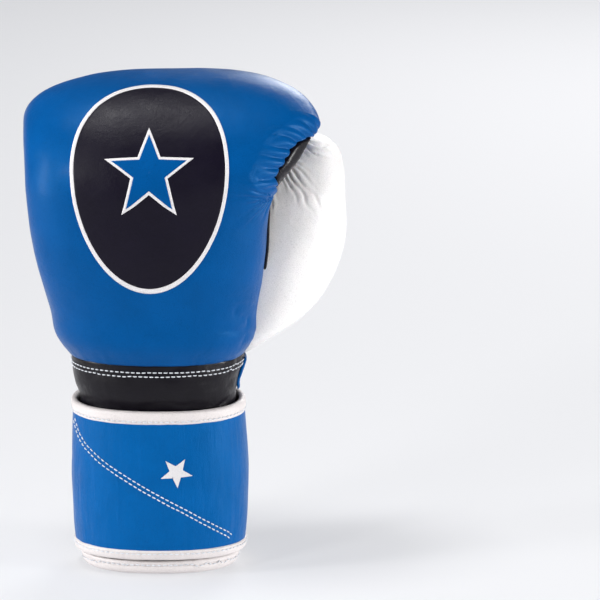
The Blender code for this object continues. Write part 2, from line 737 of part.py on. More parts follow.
def make_flap():
    edge = BINDING + CLEAR
    root_angles = steps(FLAP_HINGE_ANGLE, FLAP_FOLD_ANGLE + FOLD_GAP, 6)
    band_block("flap_root", "strap_leather", FLAP_LAYER, root_angles,
               lambda _: STRAP_BOTTOM + edge, lambda a: flap_top(a) - edge)
    band_block("flap_root_top_binding", "white_binding", FLAP_LAYER, root_angles,
               lambda a: flap_top(a) - BINDING, flap_top, 2)
    band_block("flap_root_bottom_binding", "white_binding", FLAP_LAYER, root_angles,
               lambda _: STRAP_BOTTOM, lambda _: STRAP_BOTTOM + BINDING, 2)
    open_end_parts("flap_tip", "strap_leather", FLAP_LAYER, FLAP_FOLD_ANGLE - FOLD_GAP,
                   FLAP_END_ANGLE, flap_top, FLAP_CORNER)
    band_block("hook_patch", "hook_tape", HOOK_LAYER, steps(*HOOK_ANGLES, 6),
               lambda _: HOOK_HEIGHTS[0], lambda _: HOOK_HEIGHTS[1])


def make_tab():
    open_end_parts("inner_tab", "strap_leather", TAB_LAYER, TAB_HINGE_ANGLE, TAB_END_ANGLE,
                   tab_top, TAB_CORNER)
    band_block("loop_patch", "hook_tape", LOOP_LAYER, steps(*LOOP_ANGLES, 7),
               lambda _: LOOP_HEIGHTS[0], lambda _: LOOP_HEIGHTS[1])


# ---------------------------------------------------------------- the thumb

def thumb_point(z, angle, inset=0.0):
    """Point of the thumb at a height; the thumb's rings close towards its tip."""
    low, high = THUMB[0][0], THUMB[-1][0]
    z = mix(low + inset * 0.4, high - inset, (z - low) / (high - low))
    x_in, x_out, y_back, y_palm = read_table(THUMB, mix(low, high, (z - low) / (high - low)))
    half_x = max(0.6, (x_out - x_in) / 2.0 - inset)
    half_y = max(0.6, (y_palm - y_back) / 2.0 - inset)
    across, up = math.cos(math.radians(angle)), math.sin(math.radians(angle))
    power = THUMB_SQUARENESS
    radius = (abs(across) ** power + abs(up) ** power) ** (-1.0 / power)
    return Vector(((x_in + x_out) / 2.0 + half_x * radius * across,
                   (y_back + y_palm) / 2.0 - half_y * radius * up, z))


# Slab that keeps the thumb's base out of the fold between the palm and the curled end.
FOLD_CENTRE = Vector((-12.0, 18.0, 214.0))
FOLD_SIZE = (110.0, 14.0, 62.0)

THUMB_ROWS = [133.0, 138.0, 146.0, 160.0, 180.0, 200.0, 220.0, 236.0, 248.0, 256.0, 261.0, 264.2]
THUMB_OUTER = steps(-129.0, 150.0, 18)
THUMB_INNER = steps(152.0, 229.0, 6)


def thumb_slab(maker, name, colour, insets, columns):
    def surface(inset):
        return lambda z, angle: thumb_point(z, angle, inset)
    return maker(name, colour, surface(insets[0]), surface(insets[1]), THUMB_ROWS, columns)


def mitt_cutter():
    """Solid that fills the mitt and stands a little proud of it, to trim the thumb's base."""
    data = bmesh.new()
    grown = (-2 * CLEAR, 0.0)
    rows = [90.0, 106.0, 120.0] + STRAIGHT_ROWS + BEND_ROWS + TIP_ROWS
    columns = steps(0.0, 350.0, 36)
    rings = [[data.verts.new(tube_point(row, angle, grown)) for angle in columns] for row in rows]
    for one, two in zip(rings, rings[1:]):
        for j in range(len(columns)):
            k = (j + 1) % len(columns)
            data.faces.new((one[j], one[k], two[k], two[j]))
    data.faces.new(rings[0])
    data.faces.new(rings[-1])
    cutter = finish("mitt_cutter", data, "foam")
    cutter.hide_render = True
    cutter.display_type = "WIRE"
    return cutter


def fold_cutter():
    """Slab that fills the narrow fold between the palm and the curled end of the mitt."""
    data = bmesh.new()
    bmesh.ops.create_cube(data, size=1.0)
    for vertex in data.verts:
        vertex.co = FOLD_CENTRE + Vector(a * b for a, b in zip(vertex.co, FOLD_SIZE))
    cutter = finish("fold_cutter", data, "foam")
    cutter.hide_render = True
    cutter.display_type = "WIRE"
    return cutter


def islands(data):
    """Groups of joined vertices, the smallest first."""
    found, left = [], set(data.verts)
    while left:
        group, waiting = [], [left.pop()]
        while waiting:
            vertex = waiting.pop()
            group.append(vertex)
            near = [edge.other_vert(vertex) for edge in vertex.link_edges]
            near = [other for other in near if other in left]
            left.difference_update(near)
            waiting += near
        found.append(group)
    return sorted(found, key=len)


def trim(item, cutters, solver):
    """Cut the item with each cutter and keep its largest piece as its mesh."""
    for cutter in cutters:
        cut = item.modifiers.new("trim_" + cutter.name, "BOOLEAN")
        cut.operation = "DIFFERENCE"
        cut.solver = solver
        cut.object = cutter
    graph = bpy.context.evaluated_depsgraph_get()
    cut_mesh = bpy.data.meshes.new_from_object(item.evaluated_get(graph), depsgraph=graph)
    item.modifiers.clear()
    data = bmesh.new()
    data.from_mesh(cut_mesh)
    bmesh.ops.remove_doubles(data, verts=data.verts, dist=1e-6)
    small = [vertex for group in islands(data)[:-1] for vertex in group]
    bmesh.ops.delete(data, geom=small, context="VERTS")
    face_outwards(data)
    data.to_mesh(cut_mesh)
    data.free()
    cut_mesh.name = item.name
    item.data = cut_mesh


def make_thumb():
    cutters = [mitt_cutter(), fold_cutter()]
    foam_back = THUMB_WALL - LINING - CLEAR
    skin, foam = (0.0, LEATHER), (LEATHER + CLEAR, foam_back)
    lining = (THUMB_WALL - LINING, THUMB_WALL)
    parts = [
        thumb_slab(block, "thumb_outer_panel", "white_leather", skin, THUMB_OUTER),
        thumb_slab(block, "thumb_inner_panel", "white_leather", skin, THUMB_INNER),
        thumb_slab(block, "thumb_foam", "foam", foam, THUMB_OUTER),
        thumb_slab(sleeve, "thumb_lining", "lining_cloth", lining, THUMB_OUTER + THUMB_INNER),
    ]
    for part in parts:
        trim(part, cutters, "MANIFOLD" if part.name == "thumb_inner_panel" else "EXACT")


def hang(parts, pivot_name, pivot):
    """Parent parts to an empty that stands at a joint's axis, without moving their shapes."""
    axis = bpy.data.objects.new(pivot_name, None)
    bpy.context.collection.objects.link(axis)
    axis.location = (pivot - ORIGIN) * METRES
    for name in parts:
        part = bpy.data.objects[name]
        part.parent = axis
        part.location = -axis.location


def hang_all():
    """Group every piece under the empty of the body it moves with."""
    outer = FLAP_LAYER[1]
    bodies = {
        "flap_axis": (cuff_point(FLAP_HINGE_ANGLE, PIVOT_HEIGHT, outer),
                      ["flap_root", "flap_root_top_binding", "flap_root_bottom_binding"]),
        "flap_fold_axis": (cuff_point(FLAP_FOLD_ANGLE, PIVOT_HEIGHT, outer),
                           ["flap_tip", "flap_tip_binding", "hook_patch"]),
        "tab_axis": (cuff_point(TAB_HINGE_ANGLE, PIVOT_HEIGHT, TAB_LAYER[1]),
                     ["inner_tab", "inner_tab_binding", "loop_patch"]),
    }
    moving = [name for _, names in bodies.values() for name in names]
    fixed = [item.name for item in bpy.data.objects
             if item.type == "MESH" and item.name not in moving and not item.hide_render]
    hang(fixed, "glove", ORIGIN)
    for pivot_name, (pivot, names) in bodies.items():
        hang(names, pivot_name, pivot)


def main():
    clear_scene()
    make_knuckle_side()
    make_inner_side()
    make_grip_bar()
    make_palm()
    make_cuff()
    make_strap()
    make_flap()
    make_tab()
    make_thumb()
    hang_all()


main()
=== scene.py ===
"""Looks of a left-hand boxing glove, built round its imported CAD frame.

Shapes are worked out in millimetres from the middle of the cuff, with +X towards the thumb,
-Y towards the back of the hand and +Z towards the knuckles.  to_frame() turns them into the
metres of the frame.
"""

import math

import bmesh
import bpy
import numpy as np
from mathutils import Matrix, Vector, noise
from mathutils.bvhtree import BVHTree


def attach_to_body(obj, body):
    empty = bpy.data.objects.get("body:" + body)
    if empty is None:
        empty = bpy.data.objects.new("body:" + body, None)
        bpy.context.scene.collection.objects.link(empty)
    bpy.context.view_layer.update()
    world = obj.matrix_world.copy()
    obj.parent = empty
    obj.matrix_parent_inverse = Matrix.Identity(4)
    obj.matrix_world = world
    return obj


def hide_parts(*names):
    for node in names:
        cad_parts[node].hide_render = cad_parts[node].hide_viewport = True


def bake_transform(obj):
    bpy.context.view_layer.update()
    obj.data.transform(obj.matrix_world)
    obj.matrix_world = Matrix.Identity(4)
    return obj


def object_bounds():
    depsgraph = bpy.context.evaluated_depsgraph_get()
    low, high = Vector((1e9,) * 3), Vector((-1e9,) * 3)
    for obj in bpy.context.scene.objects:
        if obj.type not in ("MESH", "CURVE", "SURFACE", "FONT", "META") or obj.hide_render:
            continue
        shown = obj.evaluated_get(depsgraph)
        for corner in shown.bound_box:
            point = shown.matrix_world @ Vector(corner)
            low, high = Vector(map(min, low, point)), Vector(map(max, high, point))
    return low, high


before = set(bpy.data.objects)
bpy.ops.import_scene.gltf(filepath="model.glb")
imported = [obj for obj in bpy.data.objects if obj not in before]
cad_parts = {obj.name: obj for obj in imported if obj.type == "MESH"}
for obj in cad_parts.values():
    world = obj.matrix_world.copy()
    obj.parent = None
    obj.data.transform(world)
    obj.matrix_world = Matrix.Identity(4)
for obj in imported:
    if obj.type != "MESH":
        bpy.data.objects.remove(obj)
CAD_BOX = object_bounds()

METRES = 0.001
ORIGIN = np.array((15.8, 13.0, 0.0))

# The tube of the mitt, hooked over a pivot line.  Each row: place along it, pinky side x,
# middle x, thumb side x, outer reach, inner reach, squareness at both sides, slant.
PIVOT_Y, PIVOT_Z = 13.0, 240.0
BEND_START, BEND_END, ROUND_START, TUBE_END = 240.0, 420.0, 430.0, 466.0
ROLL_SHARE = 0.25
TUBE = (
    (0.0, -46.0, 0.0, 46.0, 49.0, -20.5, 2.3, 2.3, 0.0),
    (12.0, -49.0, 0.0, 49.0, 50.5, -21.0, 2.3, 2.3, 0.0),
    (60.0, -50.5, 0.0, 50.5, 51.5, -21.5, 2.3, 2.3, 0.0),
    (106.0, -50.5, 0.0, 48.5, 52.0, -22.5, 2.3, 2.3, 0.0),
    (118.0, -52.0, 0.0, 47.5, 54.0, -24.5, 2.3, 2.3, 0.0),
    (134.0, -56.0, 0.0, 53.0, 56.0, -24.0, 2.3, 2.3, 0.0),
    (160.0, -66.0, 0.0, 60.0, 62.0, -19.0, 2.3, 2.3, 0.0),
    (200.0, -77.0, 0.0, 66.0, 68.0, -7.0, 2.3, 2.4, 0.0),
    (240.0, -82.0, 4.0, 71.0, 70.0, 3.0, 2.3, 2.5, 0.1),
    (270.0, -83.0, 12.0, 89.0, 70.0, 3.0, 2.3, 2.6, 0.4),
    (300.0, -84.0, 15.0, 98.5, 70.0, 3.0, 2.3, 2.8, 0.55),
    (330.0, -84.5, 15.0, 92.0, 70.0, 3.0, 2.3, 2.8, 0.55),
    (360.0, -84.5, 5.0, 74.0, 70.0, 3.0, 2.3, 2.7, 0.45),
    (390.0, -84.5, -10.0, 54.0, 70.0, 3.0, 2.3, 2.6, 0.3),
    (420.0, -84.0, -20.0, 38.0, 70.0, 3.0, 2.3, 2.5, 0.1),
    (466.0, -79.0, -25.0, 28.0, 68.0, 12.0, 2.3, 2.4, 0.0),
)
# Wall from leather to hand space: place, outer side, inner side, pinky end, thumb end.
WALL = (
    (0.0, 10.0, 10.0, 10.0, 10.0),
    (112.0, 10.0, 9.0, 10.0, 10.0),
    (134.0, 15.0, 6.6, 11.0, 11.0),
    (160.0, 22.0, 5.6, 12.0, 12.0),
    (200.0, 27.0, 5.6, 13.0, 13.0),
    (240.0, 28.0, 5.6, 14.0, 20.0),
    (300.0, 28.0, 5.6, 14.0, 36.0),
    (360.0, 28.0, 5.6, 14.0, 30.0),
    (466.0, 22.0, 5.6, 13.0, 13.0),
)
END_WALL = 18.0
# The thumb: height, inner x, outer x, back y, palm y.
THUMB = (
    (131.0, 47.0, 54.0, 6.0, 24.0),
    (140.0, 41.0, 66.0, -10.0, 38.0),
    (154.0, 36.0, 88.0, -16.0, 47.0),
    (170.0, 32.0, 103.0, -18.0, 53.0),
    (200.0, 30.0, 115.0, -16.0, 58.0),
    (230.0, 36.0, 115.5, -8.0, 61.0),
    (248.0, 47.0, 114.0, 2.0, 60.0),
    (258.0, 60.0, 109.0, 11.0, 55.0),
    (263.5, 76.0, 99.0, 23.0, 46.0),
    (264.6, 87.0, 88.5, 34.0, 35.5),
)
SQUARENESS = 2.3
LEATHER = 1.8

# Seams, as angles round the tube: 0 at the thumb side, 90 at the back, 180 at the pinky.
PINKY_SEAM, THUMB_SEAM, WRIST_SEAM = 205.0, 0.3, -25.0
CRESCENT_SEAM, EAR_SEAM, FOLD_SEAM, WEB_SEAM = 34.0, -10.0, 24.0, -63.0
# Heights.
RIM_TOP, SHELL_HEM, STRAP_BOTTOM, STRAP_TOP = 9.0, 134.0, 10.5, 106.0
# The leather of the cuff starts just above its rim's binding.
LEATHER_START = 9.8
# The strap: distances from the cuff's leather and angles of its hinges and ends.
STRAP_OUT, TAB_OUT, FLAP_IN, FLAP_OUT = 3.6, 2.8, 5.2, 7.6
FLAP_HINGE, FLAP_FOLD, FLAP_END, TAB_END, TAB_HINGE = -58.0, -102.0, -153.0, -88.0, -152.0
HINGE_START, HINGE_END = -44.0, -62.0
# The palm: slit, placket and the trim strip round the base of the thumb.
SLIT_X, SLIT_TOP, SLIT_HALF_TOP, SLIT_HALF_FOOT = -13.0, 181.0, 10.0, 5.0
PLACKET_TOP, PLACKET_HALF_TOP, PLACKET_HALF_FOOT = 196.0, 20.0, 27.0
TRIM_EDGE = ((130.0, 39.0), (134.0, 36.0), (151.0, 27.5), (168.0, 25.0), (188.0, 27.0),
             (196.0, 28.0))
TRIM_WIDTH, TRIM_TOP = 7.0, 196.0
# Height of the seam between black leather and mesh, beside the placket.
PALM_SEAM = 157.0


# ---------------------------------------------------------------- numbers

def smooth_step(low, high, value):
    share = np.clip((value - low) / (high - low), 0.0, 1.0)
    return share * share * (3.0 - 2.0 * share)


def mix(first, second, share):
    return first + (second - first) * share


def bump(value, centre, width):
    """Bell of height 1 round a centre."""
    return np.exp(-((value - centre) / width) ** 2)


def read_row(table, place):
    """Smooth values of a table at a place, by cubic pieces through its rows."""
    last = len(table) - 1
    place = min(max(place, table[0][0]), table[last][0])
    i = 0
    while i < last - 1 and place > table[i + 1][0]:
        i += 1
    before, start = table[max(i - 1, 0)], table[i]
    end, after = table[i + 1], table[min(i + 2, last)]
    span = end[0] - start[0]
    t = (place - start[0]) / span
    values = []
    for k in range(1, len(start)):
        slope_in = (end[k] - before[k]) / (end[0] - before[0]) * span
        slope_out = (after[k] - start[k]) / (after[0] - start[0]) * span
        values.append((2 * t ** 3 - 3 * t * t + 1) * start[k] + (t ** 3 - 2 * t * t + t) * slope_in
                      + (3 * t * t - 2 * t ** 3) * end[k] + (t ** 3 - t * t) * slope_out)
    return values


class Table:
    """A table read at whole arrays of places, through finely spaced smooth values."""

    def __init__(self, rows, step=0.5):
        count = int((rows[-1][0] - rows[0][0]) / step) + 1
        self.places = np.linspace(rows[0][0], rows[-1][0], count)
        self.values = np.array([read_row(rows, place) for place in self.places]).T

    def __call__(self, place):
        return [np.interp(place, self.places, column) for column in self.values]


tube_table, wall_table, thumb_table, trim_table = (Table(rows) for rows in
                                                   (TUBE, WALL, THUMB, TRIM_EDGE))


def steps(first, last, count):
    return np.linspace(first, last, count)


def spread(first, last, length, pitch, fine=True):
    """Values from first to last about a pitch apart, with close ones at both ends."""
    count = max(2, int(length / pitch) + 1)
    shares = list(np.linspace(0.0, 1.0, count))
    if fine:
        close = [d / length for d in (0.3, 0.7, 1.2, 1.9) if d < pitch * 3 and d / length < 0.2]
        shares = sorted(set(shares + close + [1.0 - share for share in close]))
        kept = [0.0]
        for share in shares[1:-1]:
            if share - kept[-1] > 0.2 / length and 1.0 - share > 0.2 / length:
                kept.append(share)
        shares = kept + [1.0]
    return mix(first, last, np.array(shares))


def rough(points, size, seed=0.0):
    """Smooth noise from -1 to 1 at points, with features of about the given size."""
    points = np.asarray(points, float)
    flat = points.reshape(-1, 3) / size + seed * 7.31
    return np.array([noise.noise(Vector(p)) for p in flat]).reshape(points.shape[:-1])


def creases(points, size, seed=0.0):
    """Creases from 0 to 1, sharp along the lines where noise changes sign."""
    return np.clip(1.0 - 3.0 * np.abs(rough(points, size, seed)), 0.0, 1.0) ** 2


# ---------------------------------------------------------------- surfaces

def tube_point(place, angle, layer=None):
    """Points of the mitt at places along the tube and angles round it, in mm."""
    place, angle = np.broadcast_arrays(np.asarray(place, float), np.asarray(angle, float))
    insets = [0.0] * 5
    if layer is not None:
        fixed, share = layer
        walls = wall_table(place) + [END_WALL]
        insets = [fixed + share * np.maximum(0.0, wall - 4.2) for wall in walls]
    tip = TUBE_END - insets[4]
    through = np.clip((place - ROUND_START) / (TUBE_END - ROUND_START), 0.0, 1.0)
    along = np.where(place > ROUND_START, mix(ROUND_START, tip, through), place)
    thick = np.sqrt(np.maximum(0.0, 1.0 - through ** 2))
    pinky, middle, thumb, outer, inner, power_p, power_t, slant = tube_table(along)
    outer, inner = outer - insets[0], inner + insets[1]
    roll = mix(inner, outer, ROLL_SHARE)
    outer = mix(roll, outer, np.maximum(thick, 0.03))
    inner = mix(roll, inner, np.maximum(thick, 0.03))
    keep = mix(0.3, 1.0, thick)
    to_pinky = (middle - pinky - insets[2]) * keep
    to_thumb = (thumb - insets[3] - middle) * keep
    turn = np.radians(angle)
    across, up = np.cos(turn), np.sin(turn)
    thumbward = across > 0
    power = np.where(thumbward, power_t, power_p)
    radius = (np.abs(across) ** power + np.abs(up) ** power) ** (-1.0 / power)
    level = radius * up
    draw_in = mix(1.0 - slant, 1.0, smooth_step(-0.5, 0.35, level))
    half = np.where(thumbward, to_thumb * draw_in, to_pinky)
    x = middle + half * radius * across
    reach = mix(inner, outer, (level + 1.0) / 2.0)
    bend = np.radians(np.clip(along - BEND_START, 0.0, BEND_END - BEND_START))
    y = PIVOT_Y - reach * np.cos(bend)
    z = PIVOT_Z + reach * np.sin(bend)
    z = z + np.minimum(along - BEND_START, 0.0) - np.maximum(along - BEND_END, 0.0)
    return np.stack([x, y, z], -1)


def thumb_point(z, angle):
    """Points of the thumb at heights and angles, 0 at its outer side and 90 at its back."""
    z, angle = np.broadcast_arrays(np.asarray(z, float), np.asarray(angle, float))
    x_in, x_out, y_back, y_palm = thumb_table(z)
    turn = np.radians(angle)
    across, up = np.cos(turn), np.sin(turn)
    radius = (np.abs(across) ** SQUARENESS + np.abs(up) ** SQUARENESS) ** (-1.0 / SQUARENESS)
    x = (x_in + x_out) / 2.0 + (x_out - x_in) / 2.0 * radius * across
    y = (y_back + y_palm) / 2.0 - (y_palm - y_back) / 2.0 * radius * up
    return np.stack([x, y, z], -1)


def lifted(surface, u, v, out):
    """Points at a distance outside a surface of two values, in mm."""
    along_u = surface(u + 0.4, v) - surface(u - 0.4, v)
    along_v = surface(u, v + 0.4) - surface(u, v - 0.4)
    normal = np.cross(along_u, along_v)
    normal /= np.maximum(np.linalg.norm(normal, axis=-1, keepdims=True), 1e-9)
    return surface(u, v) + normal * np.asarray(out)[..., None]


def angle_at(x, z):
    """Angles on the palm side of the tube where its points have the given x."""
    x, z = np.broadcast_arrays(np.asarray(x, float), np.asarray(z, float))
    low, high = np.full(x.shape, -180.0), np.zeros(x.shape)
    for _ in range(24):
        trial = (low + high) / 2.0
        short = tube_point(z, trial)[..., 0] < x
        low, high = np.where(short, trial, low), np.where(short, high, trial)
    return low


def palm(x, z, out):
    """Points of the palm face at an x and a height, a distance outside its leather."""
    return lifted(tube_point, z, angle_at(x, z), out)


# Distance round the cuff from its thumb side, in mm, as a function of the angle.
CUFF_ANGLES = np.linspace(-200.0, 260.0, 921)
CUFF_RUN = np.concatenate([[0.0], np.cumsum(np.linalg.norm(np.diff(
    tube_point(60.0, CUFF_ANGLES), axis=0), axis=1))])
CUFF_RUN -= np.interp(0.0, CUFF_ANGLES, CUFF_RUN)


def run_at(angle):
    return np.interp(angle, CUFF_ANGLES, CUFF_RUN)


def angle_of(run):
    return np.interp(run, CUFF_RUN, CUFF_ANGLES)


def cuff(run, z, out):
    """Points at a distance outside the cuff's leather, by distance round it and height."""
    return lifted(tube_point, z, angle_of(run), out)


# ---------------------------------------------------------------- making pieces

def to_frame(points):
    return (np.asarray(points, float).reshape(-1, 3) - ORIGIN) * METRES


def add_piece(name, points, faces, slot, body="glove", nodes=()):
    """Piece from points in mm, in its material, moving with a body; given two bodies, it stays
    fixed where it is made.
    """
    mesh = bpy.data.meshes.new(name)
    mesh.from_pydata(to_frame(points).tolist(), [], faces)
    mesh.shade_smooth()
    mesh.materials.append(MATERIALS[slot])
    made = bpy.data.objects.new(name, mesh)
    bpy.context.scene.collection.objects.link(made)
    return attach(made, slot, body, nodes)


def attach(made, slot, body, nodes):
    if isinstance(body, str):
        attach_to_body(made, body)
    else:
        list(body)
        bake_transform(made)
    if nodes:
        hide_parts(*nodes)
    return made


def edge_distance(points, sides):
    """Distance along a grid of points from its named sides: first and last row and column."""
    down = np.linalg.norm(np.diff(points, axis=0), axis=-1)
    across = np.linalg.norm(np.diff(points, axis=1), axis=-1)
    from_top = np.concatenate([np.zeros((1, points.shape[1])), np.cumsum(down, axis=0)])
    from_left = np.concatenate([np.zeros((points.shape[0], 1)), np.cumsum(across, axis=1)], 1)
    found = {"top": from_top, "end": from_top[-1:] - from_top,
             "left": from_left, "right": from_left[:, -1:] - from_left}
    return np.minimum.reduce([found[side] for side in sides])


def grid_faces(rows, columns, start, flip=False, round_rows=False):
    """Faces of a grid of points; round_rows joins the last column to the first."""
    index = np.arange(rows * columns).reshape(rows, columns) + start
    if round_rows:
        index = np.concatenate([index, index[:, :1]], axis=1)
    quads = np.stack([index[:-1, :-1], index[1:, :-1], index[1:, 1:], index[:-1, 1:]], -1)
    quads = quads.reshape(-1, 4)
    return (quads[:, ::-1] if flip else quads).tolist()


def rim_faces(rows, columns, gap):
    """Faces that join the rims of two grids whose numbers lie a gap apart."""
    index = np.arange(rows * columns).reshape(rows, columns)
    rim = np.concatenate([index[0, :-1], index[:-1, -1], index[-1, :0:-1], index[:0:-1, 0]])
    after = np.roll(rim, -1)
    return np.stack([rim, after, after + gap, rim + gap], -1).tolist()


ALL_SIDES = ("top", "end", "left", "right")


def panel(name, slot, surface, u, v, height=0.0, thick=LEATHER, roll=1.2, width=2.4,
          sides=ALL_SIDES, level=0.0, body="glove", nodes=()):
    """Closed sheet on a surface, from grids of its two values, with edges rolled into seams.

    height raises or sinks the outside; level lifts the whole sheet off the surface.
    """
    u, v = np.broadcast_arrays(u, v)
    base = surface(u, v)
    drop = np.zeros(u.shape)
    if sides and roll:
        near = np.clip(1.0 - edge_distance(base, sides) / width, 0.0, 1.0)
        drop = roll * (1.0 - np.sqrt(1.0 - near ** 2))
    front = lifted(surface, u, v, level + height - drop)
    back = lifted(surface, u, v, level - thick + np.minimum(height, 0.0))
    rows, columns = u.shape
    count = rows * columns
    turn = np.cross(front[1:, :-1] - front[:-1, :-1], front[:-1, 1:] - front[:-1, :-1])
    flip = np.sum(turn * (front - back)[:-1, :-1]) < 0
    faces = grid_faces(rows, columns, 0, flip) + grid_faces(rows, columns, count, not flip)
    rim = rim_faces(rows, columns, count)
    faces += [face[::-1] for face in rim] if flip else rim
    return add_piece(name, np.concatenate([front.reshape(-1, 3), back.reshape(-1, 3)]), faces,
                     slot, body, nodes)


def sweep(name, slot, rings, body="glove", nodes=()):
    """Closed bar from rings of points, shaped (rings, points in a ring, 3)."""
    count, sides = rings.shape[:2]
    faces = grid_faces(count, sides, 0, round_rows=True)
    faces.append(list(range(sides)))
    faces.append(list(range((count - 1) * sides, count * sides))[::-1])
    made = add_piece(name, rings.reshape(-1, 3), faces, slot, body, nodes)
    outwards(made)
    return made


def outwards(made):
    """Turn the faces of a closed piece to point out."""
    data = bmesh.new()
    data.from_mesh(made.data)
    bmesh.ops.recalc_face_normals(data, faces=data.faces)
    if data.calc_volume(signed=True) < 0:
        bmesh.ops.reverse_faces(data, faces=data.faces)
    data.to_mesh(made.data)
    data.free()


def side_vectors(path):
    """Unit vectors to the left of a flat path, one at each of its points."""
    along = np.gradient(path, axis=0)
    left = np.stack([-along[:, 1], along[:, 0]], -1)
    return left / np.maximum(np.linalg.norm(left, axis=1, keepdims=True), 1e-9)


def fold_profile(width, outer, inner, crown=0.35, seam=1.9):
    """Section of a binding folded over an edge: (distance in from the edge, height) pairs."""
    middle, half = (outer + inner) / 2.0, (outer - inner) / 2.0
    depth = min(1.8, half)
    face = [(width, outer - 1.0), (width - 0.3, outer - 0.25), (width - 0.9, outer + crown * 0.4),
            (width - seam + 0.4, outer + crown * 0.5), (width - seam, outer - 0.1),
            (width - seam - 0.4, outer + crown * 0.6)]
    face += [(mix(width - seam - 0.4, depth, share), outer + crown * (1.0 - 0.5 * share ** 2))
             for share in (0.35, 0.7)]
    fold = [(depth - depth * math.cos(turn), middle + (half + crown * 0.5 * math.sin(turn))
             * math.sin(turn)) for turn in np.radians(np.linspace(90.0, -90.0, 9))]
    return face + fold + [(width - 0.3, inner), (width, inner + 0.6)]


def bind(name, place, path, profile, side=1.0, wave=0.0, **how):
    """Binding along a flat path on a surface; place(first, second, out) gives the points."""
    left = side_vectors(path) * side
    profile = np.array(profile)
    a, b = profile[:, 0], profile[:, 1]
    run = np.concatenate([[0.0], np.cumsum(np.linalg.norm(np.diff(path, axis=0), axis=1))])
    tuck = wave * np.array([noise.noise(Vector((distance / 7.0, len(name) * 1.7, 0.3)))
                            for distance in run])
    first = path[:, :1] + left[:, :1] * a
    second = path[:, 1:] + left[:, 1:] * a
    out = b[None, :] + tuck[:, None] * (b > b.mean())[None, :]
    return sweep(name, "white_binding", place(first, second, out), **how)


# ---------------------------------------------------------------- stitches

STITCH, STITCH_PITCH, THREAD = 2.5, 3.4, 0.42
STITCH_RINGS = ((-1.0, 0.35), (-0.8, 0.8), (-0.35, 1.0), (0.35, 1.0), (0.8, 0.8), (1.0, 0.35))


def stitches(name, points, normals, body):
    """Row of separate sunk thread lengths along points on a surface."""
    run = np.concatenate([[0.0], np.cumsum(np.linalg.norm(np.diff(points, axis=0), axis=1))])
    count = int((run[-1] - STITCH) / STITCH_PITCH)
    centres = (np.arange(count) + 0.5) * STITCH_PITCH + (run[-1] - count * STITCH_PITCH) / 2.0

    def at(distance, values):
        return np.stack([np.interp(distance, run, values[:, k]) for k in range(3)], -1)

    middle, normal = at(centres, points), at(centres, normals)
    tangent = at(centres + STITCH / 2.0, points) - at(centres - STITCH / 2.0, points)
    tangent /= np.linalg.norm(tangent, axis=1, keepdims=True)
    normal /= np.linalg.norm(normal, axis=1, keepdims=True)
    side = np.cross(tangent, normal)
    turns = np.radians(np.arange(0, 360, 60))
    local = []
    for along, size in STITCH_RINGS:
        lift = THREAD * (0.55 - 0.9 * along ** 4)
        local += [(along * STITCH / 2.0, lift + THREAD * size * math.sin(turn),
                   THREAD * size * math.cos(turn)) for turn in turns]
    local = np.array(local)
    parts = (middle[:, None] + tangent[:, None] * local[None, :, :1]
             + normal[:, None] * local[None, :, 1:2] + side[:, None] * local[None, :, 2:])
    sides, rings = len(turns), len(STITCH_RINGS)
    one = grid_faces(rings, sides, 0, round_rows=True)
    one += [list(range(sides)), list(range((rings - 1) * sides, rings * sides))[::-1]]
    faces = [[number + start * sides * rings for number in face]
             for start in range(count) for face in one]
    outwards(add_piece(name, parts.reshape(-1, 3), faces, "thread", body))


def tree_of(made):
    """What a line of points can be laid on: the faces of a piece, in mm."""
    points = [tuple(np.array(vertex.co) / METRES + ORIGIN) for vertex in made.data.vertices]
    return BVHTree.FromPolygons(points, [list(face.vertices) for face in made.data.polygons])


def lay(tree, points):
    """Nearest points on a tree, and the surface's direction there."""
    found = [tree.find_nearest(Vector(point)) for point in np.asarray(points).reshape(-1, 3)]
    return np.array([hit[0] for hit in found]), np.array([hit[1] for hit in found])


def stitch_on(name, tree, points, body="glove"):
    """Stitches along points that are first laid on a piece's tree."""
    places, normals = lay(tree, points)
    stitches(name, places, normals, body)


def stitch_rows(name, tree, lines):
    """Rows of stitches side by side, numbered from 1."""
    for number, line in enumerate(lines):
        stitch_on(f"{name}_{number + 1}", tree, line)


# ---------------------------------------------------------------- materials

def node_maker(tree):
    def make(kind, **values):
        made = tree.nodes.new(kind)
        for key, value in values.items():
            if key in made.inputs:
                made.inputs[key].default_value = value
            else:
                setattr(made, key, value)
        return made
    return make


def start_material(name, roughness, **constants):
    made = bpy.data.materials.new(name)
    made.use_nodes = True
    shader = made.node_tree.nodes["Principled BSDF"]
    shader.inputs["Roughness"].default_value = roughness
    for socket, value in constants.items():
        shader.inputs[socket.replace("_", " ")].default_value = value
    return made, shader, node_maker(made.node_tree)


def stretched(tree, make, scale):
    """Object coordinates with their own scale on each axis."""
    where = make("ShaderNodeTexCoord")
    stretch = make("ShaderNodeMapping")
    stretch.inputs["Scale"].default_value = scale
    tree.links.new(where.outputs["Object"], stretch.inputs["Vector"])
    return stretch.outputs["Vector"]


DRIFT = 0.28


def shade(tree, make, vector, dark, base, light, size):
    """Colour that drifts between three tones of one dye."""
    cloud = make("ShaderNodeTexNoise", Scale=1.0 / size, Detail=6.0, Roughness=0.62)
    ramp = make("ShaderNodeValToRGB")
    ramp.color_ramp.elements[0].position = 0.5 - DRIFT
    ramp.color_ramp.elements[0].color = (*dark, 1.0)
    ramp.color_ramp.elements[1].position = 0.5 + DRIFT
    ramp.color_ramp.elements[1].color = (*light, 1.0)
    middle = ramp.color_ramp.elements.new(0.5)
    middle.color = (*base, 1.0)
    tree.links.new(vector, cloud.inputs["Vector"])
    tree.links.new(cloud.outputs["Fac"], ramp.inputs["Fac"])
    return ramp.outputs["Color"]


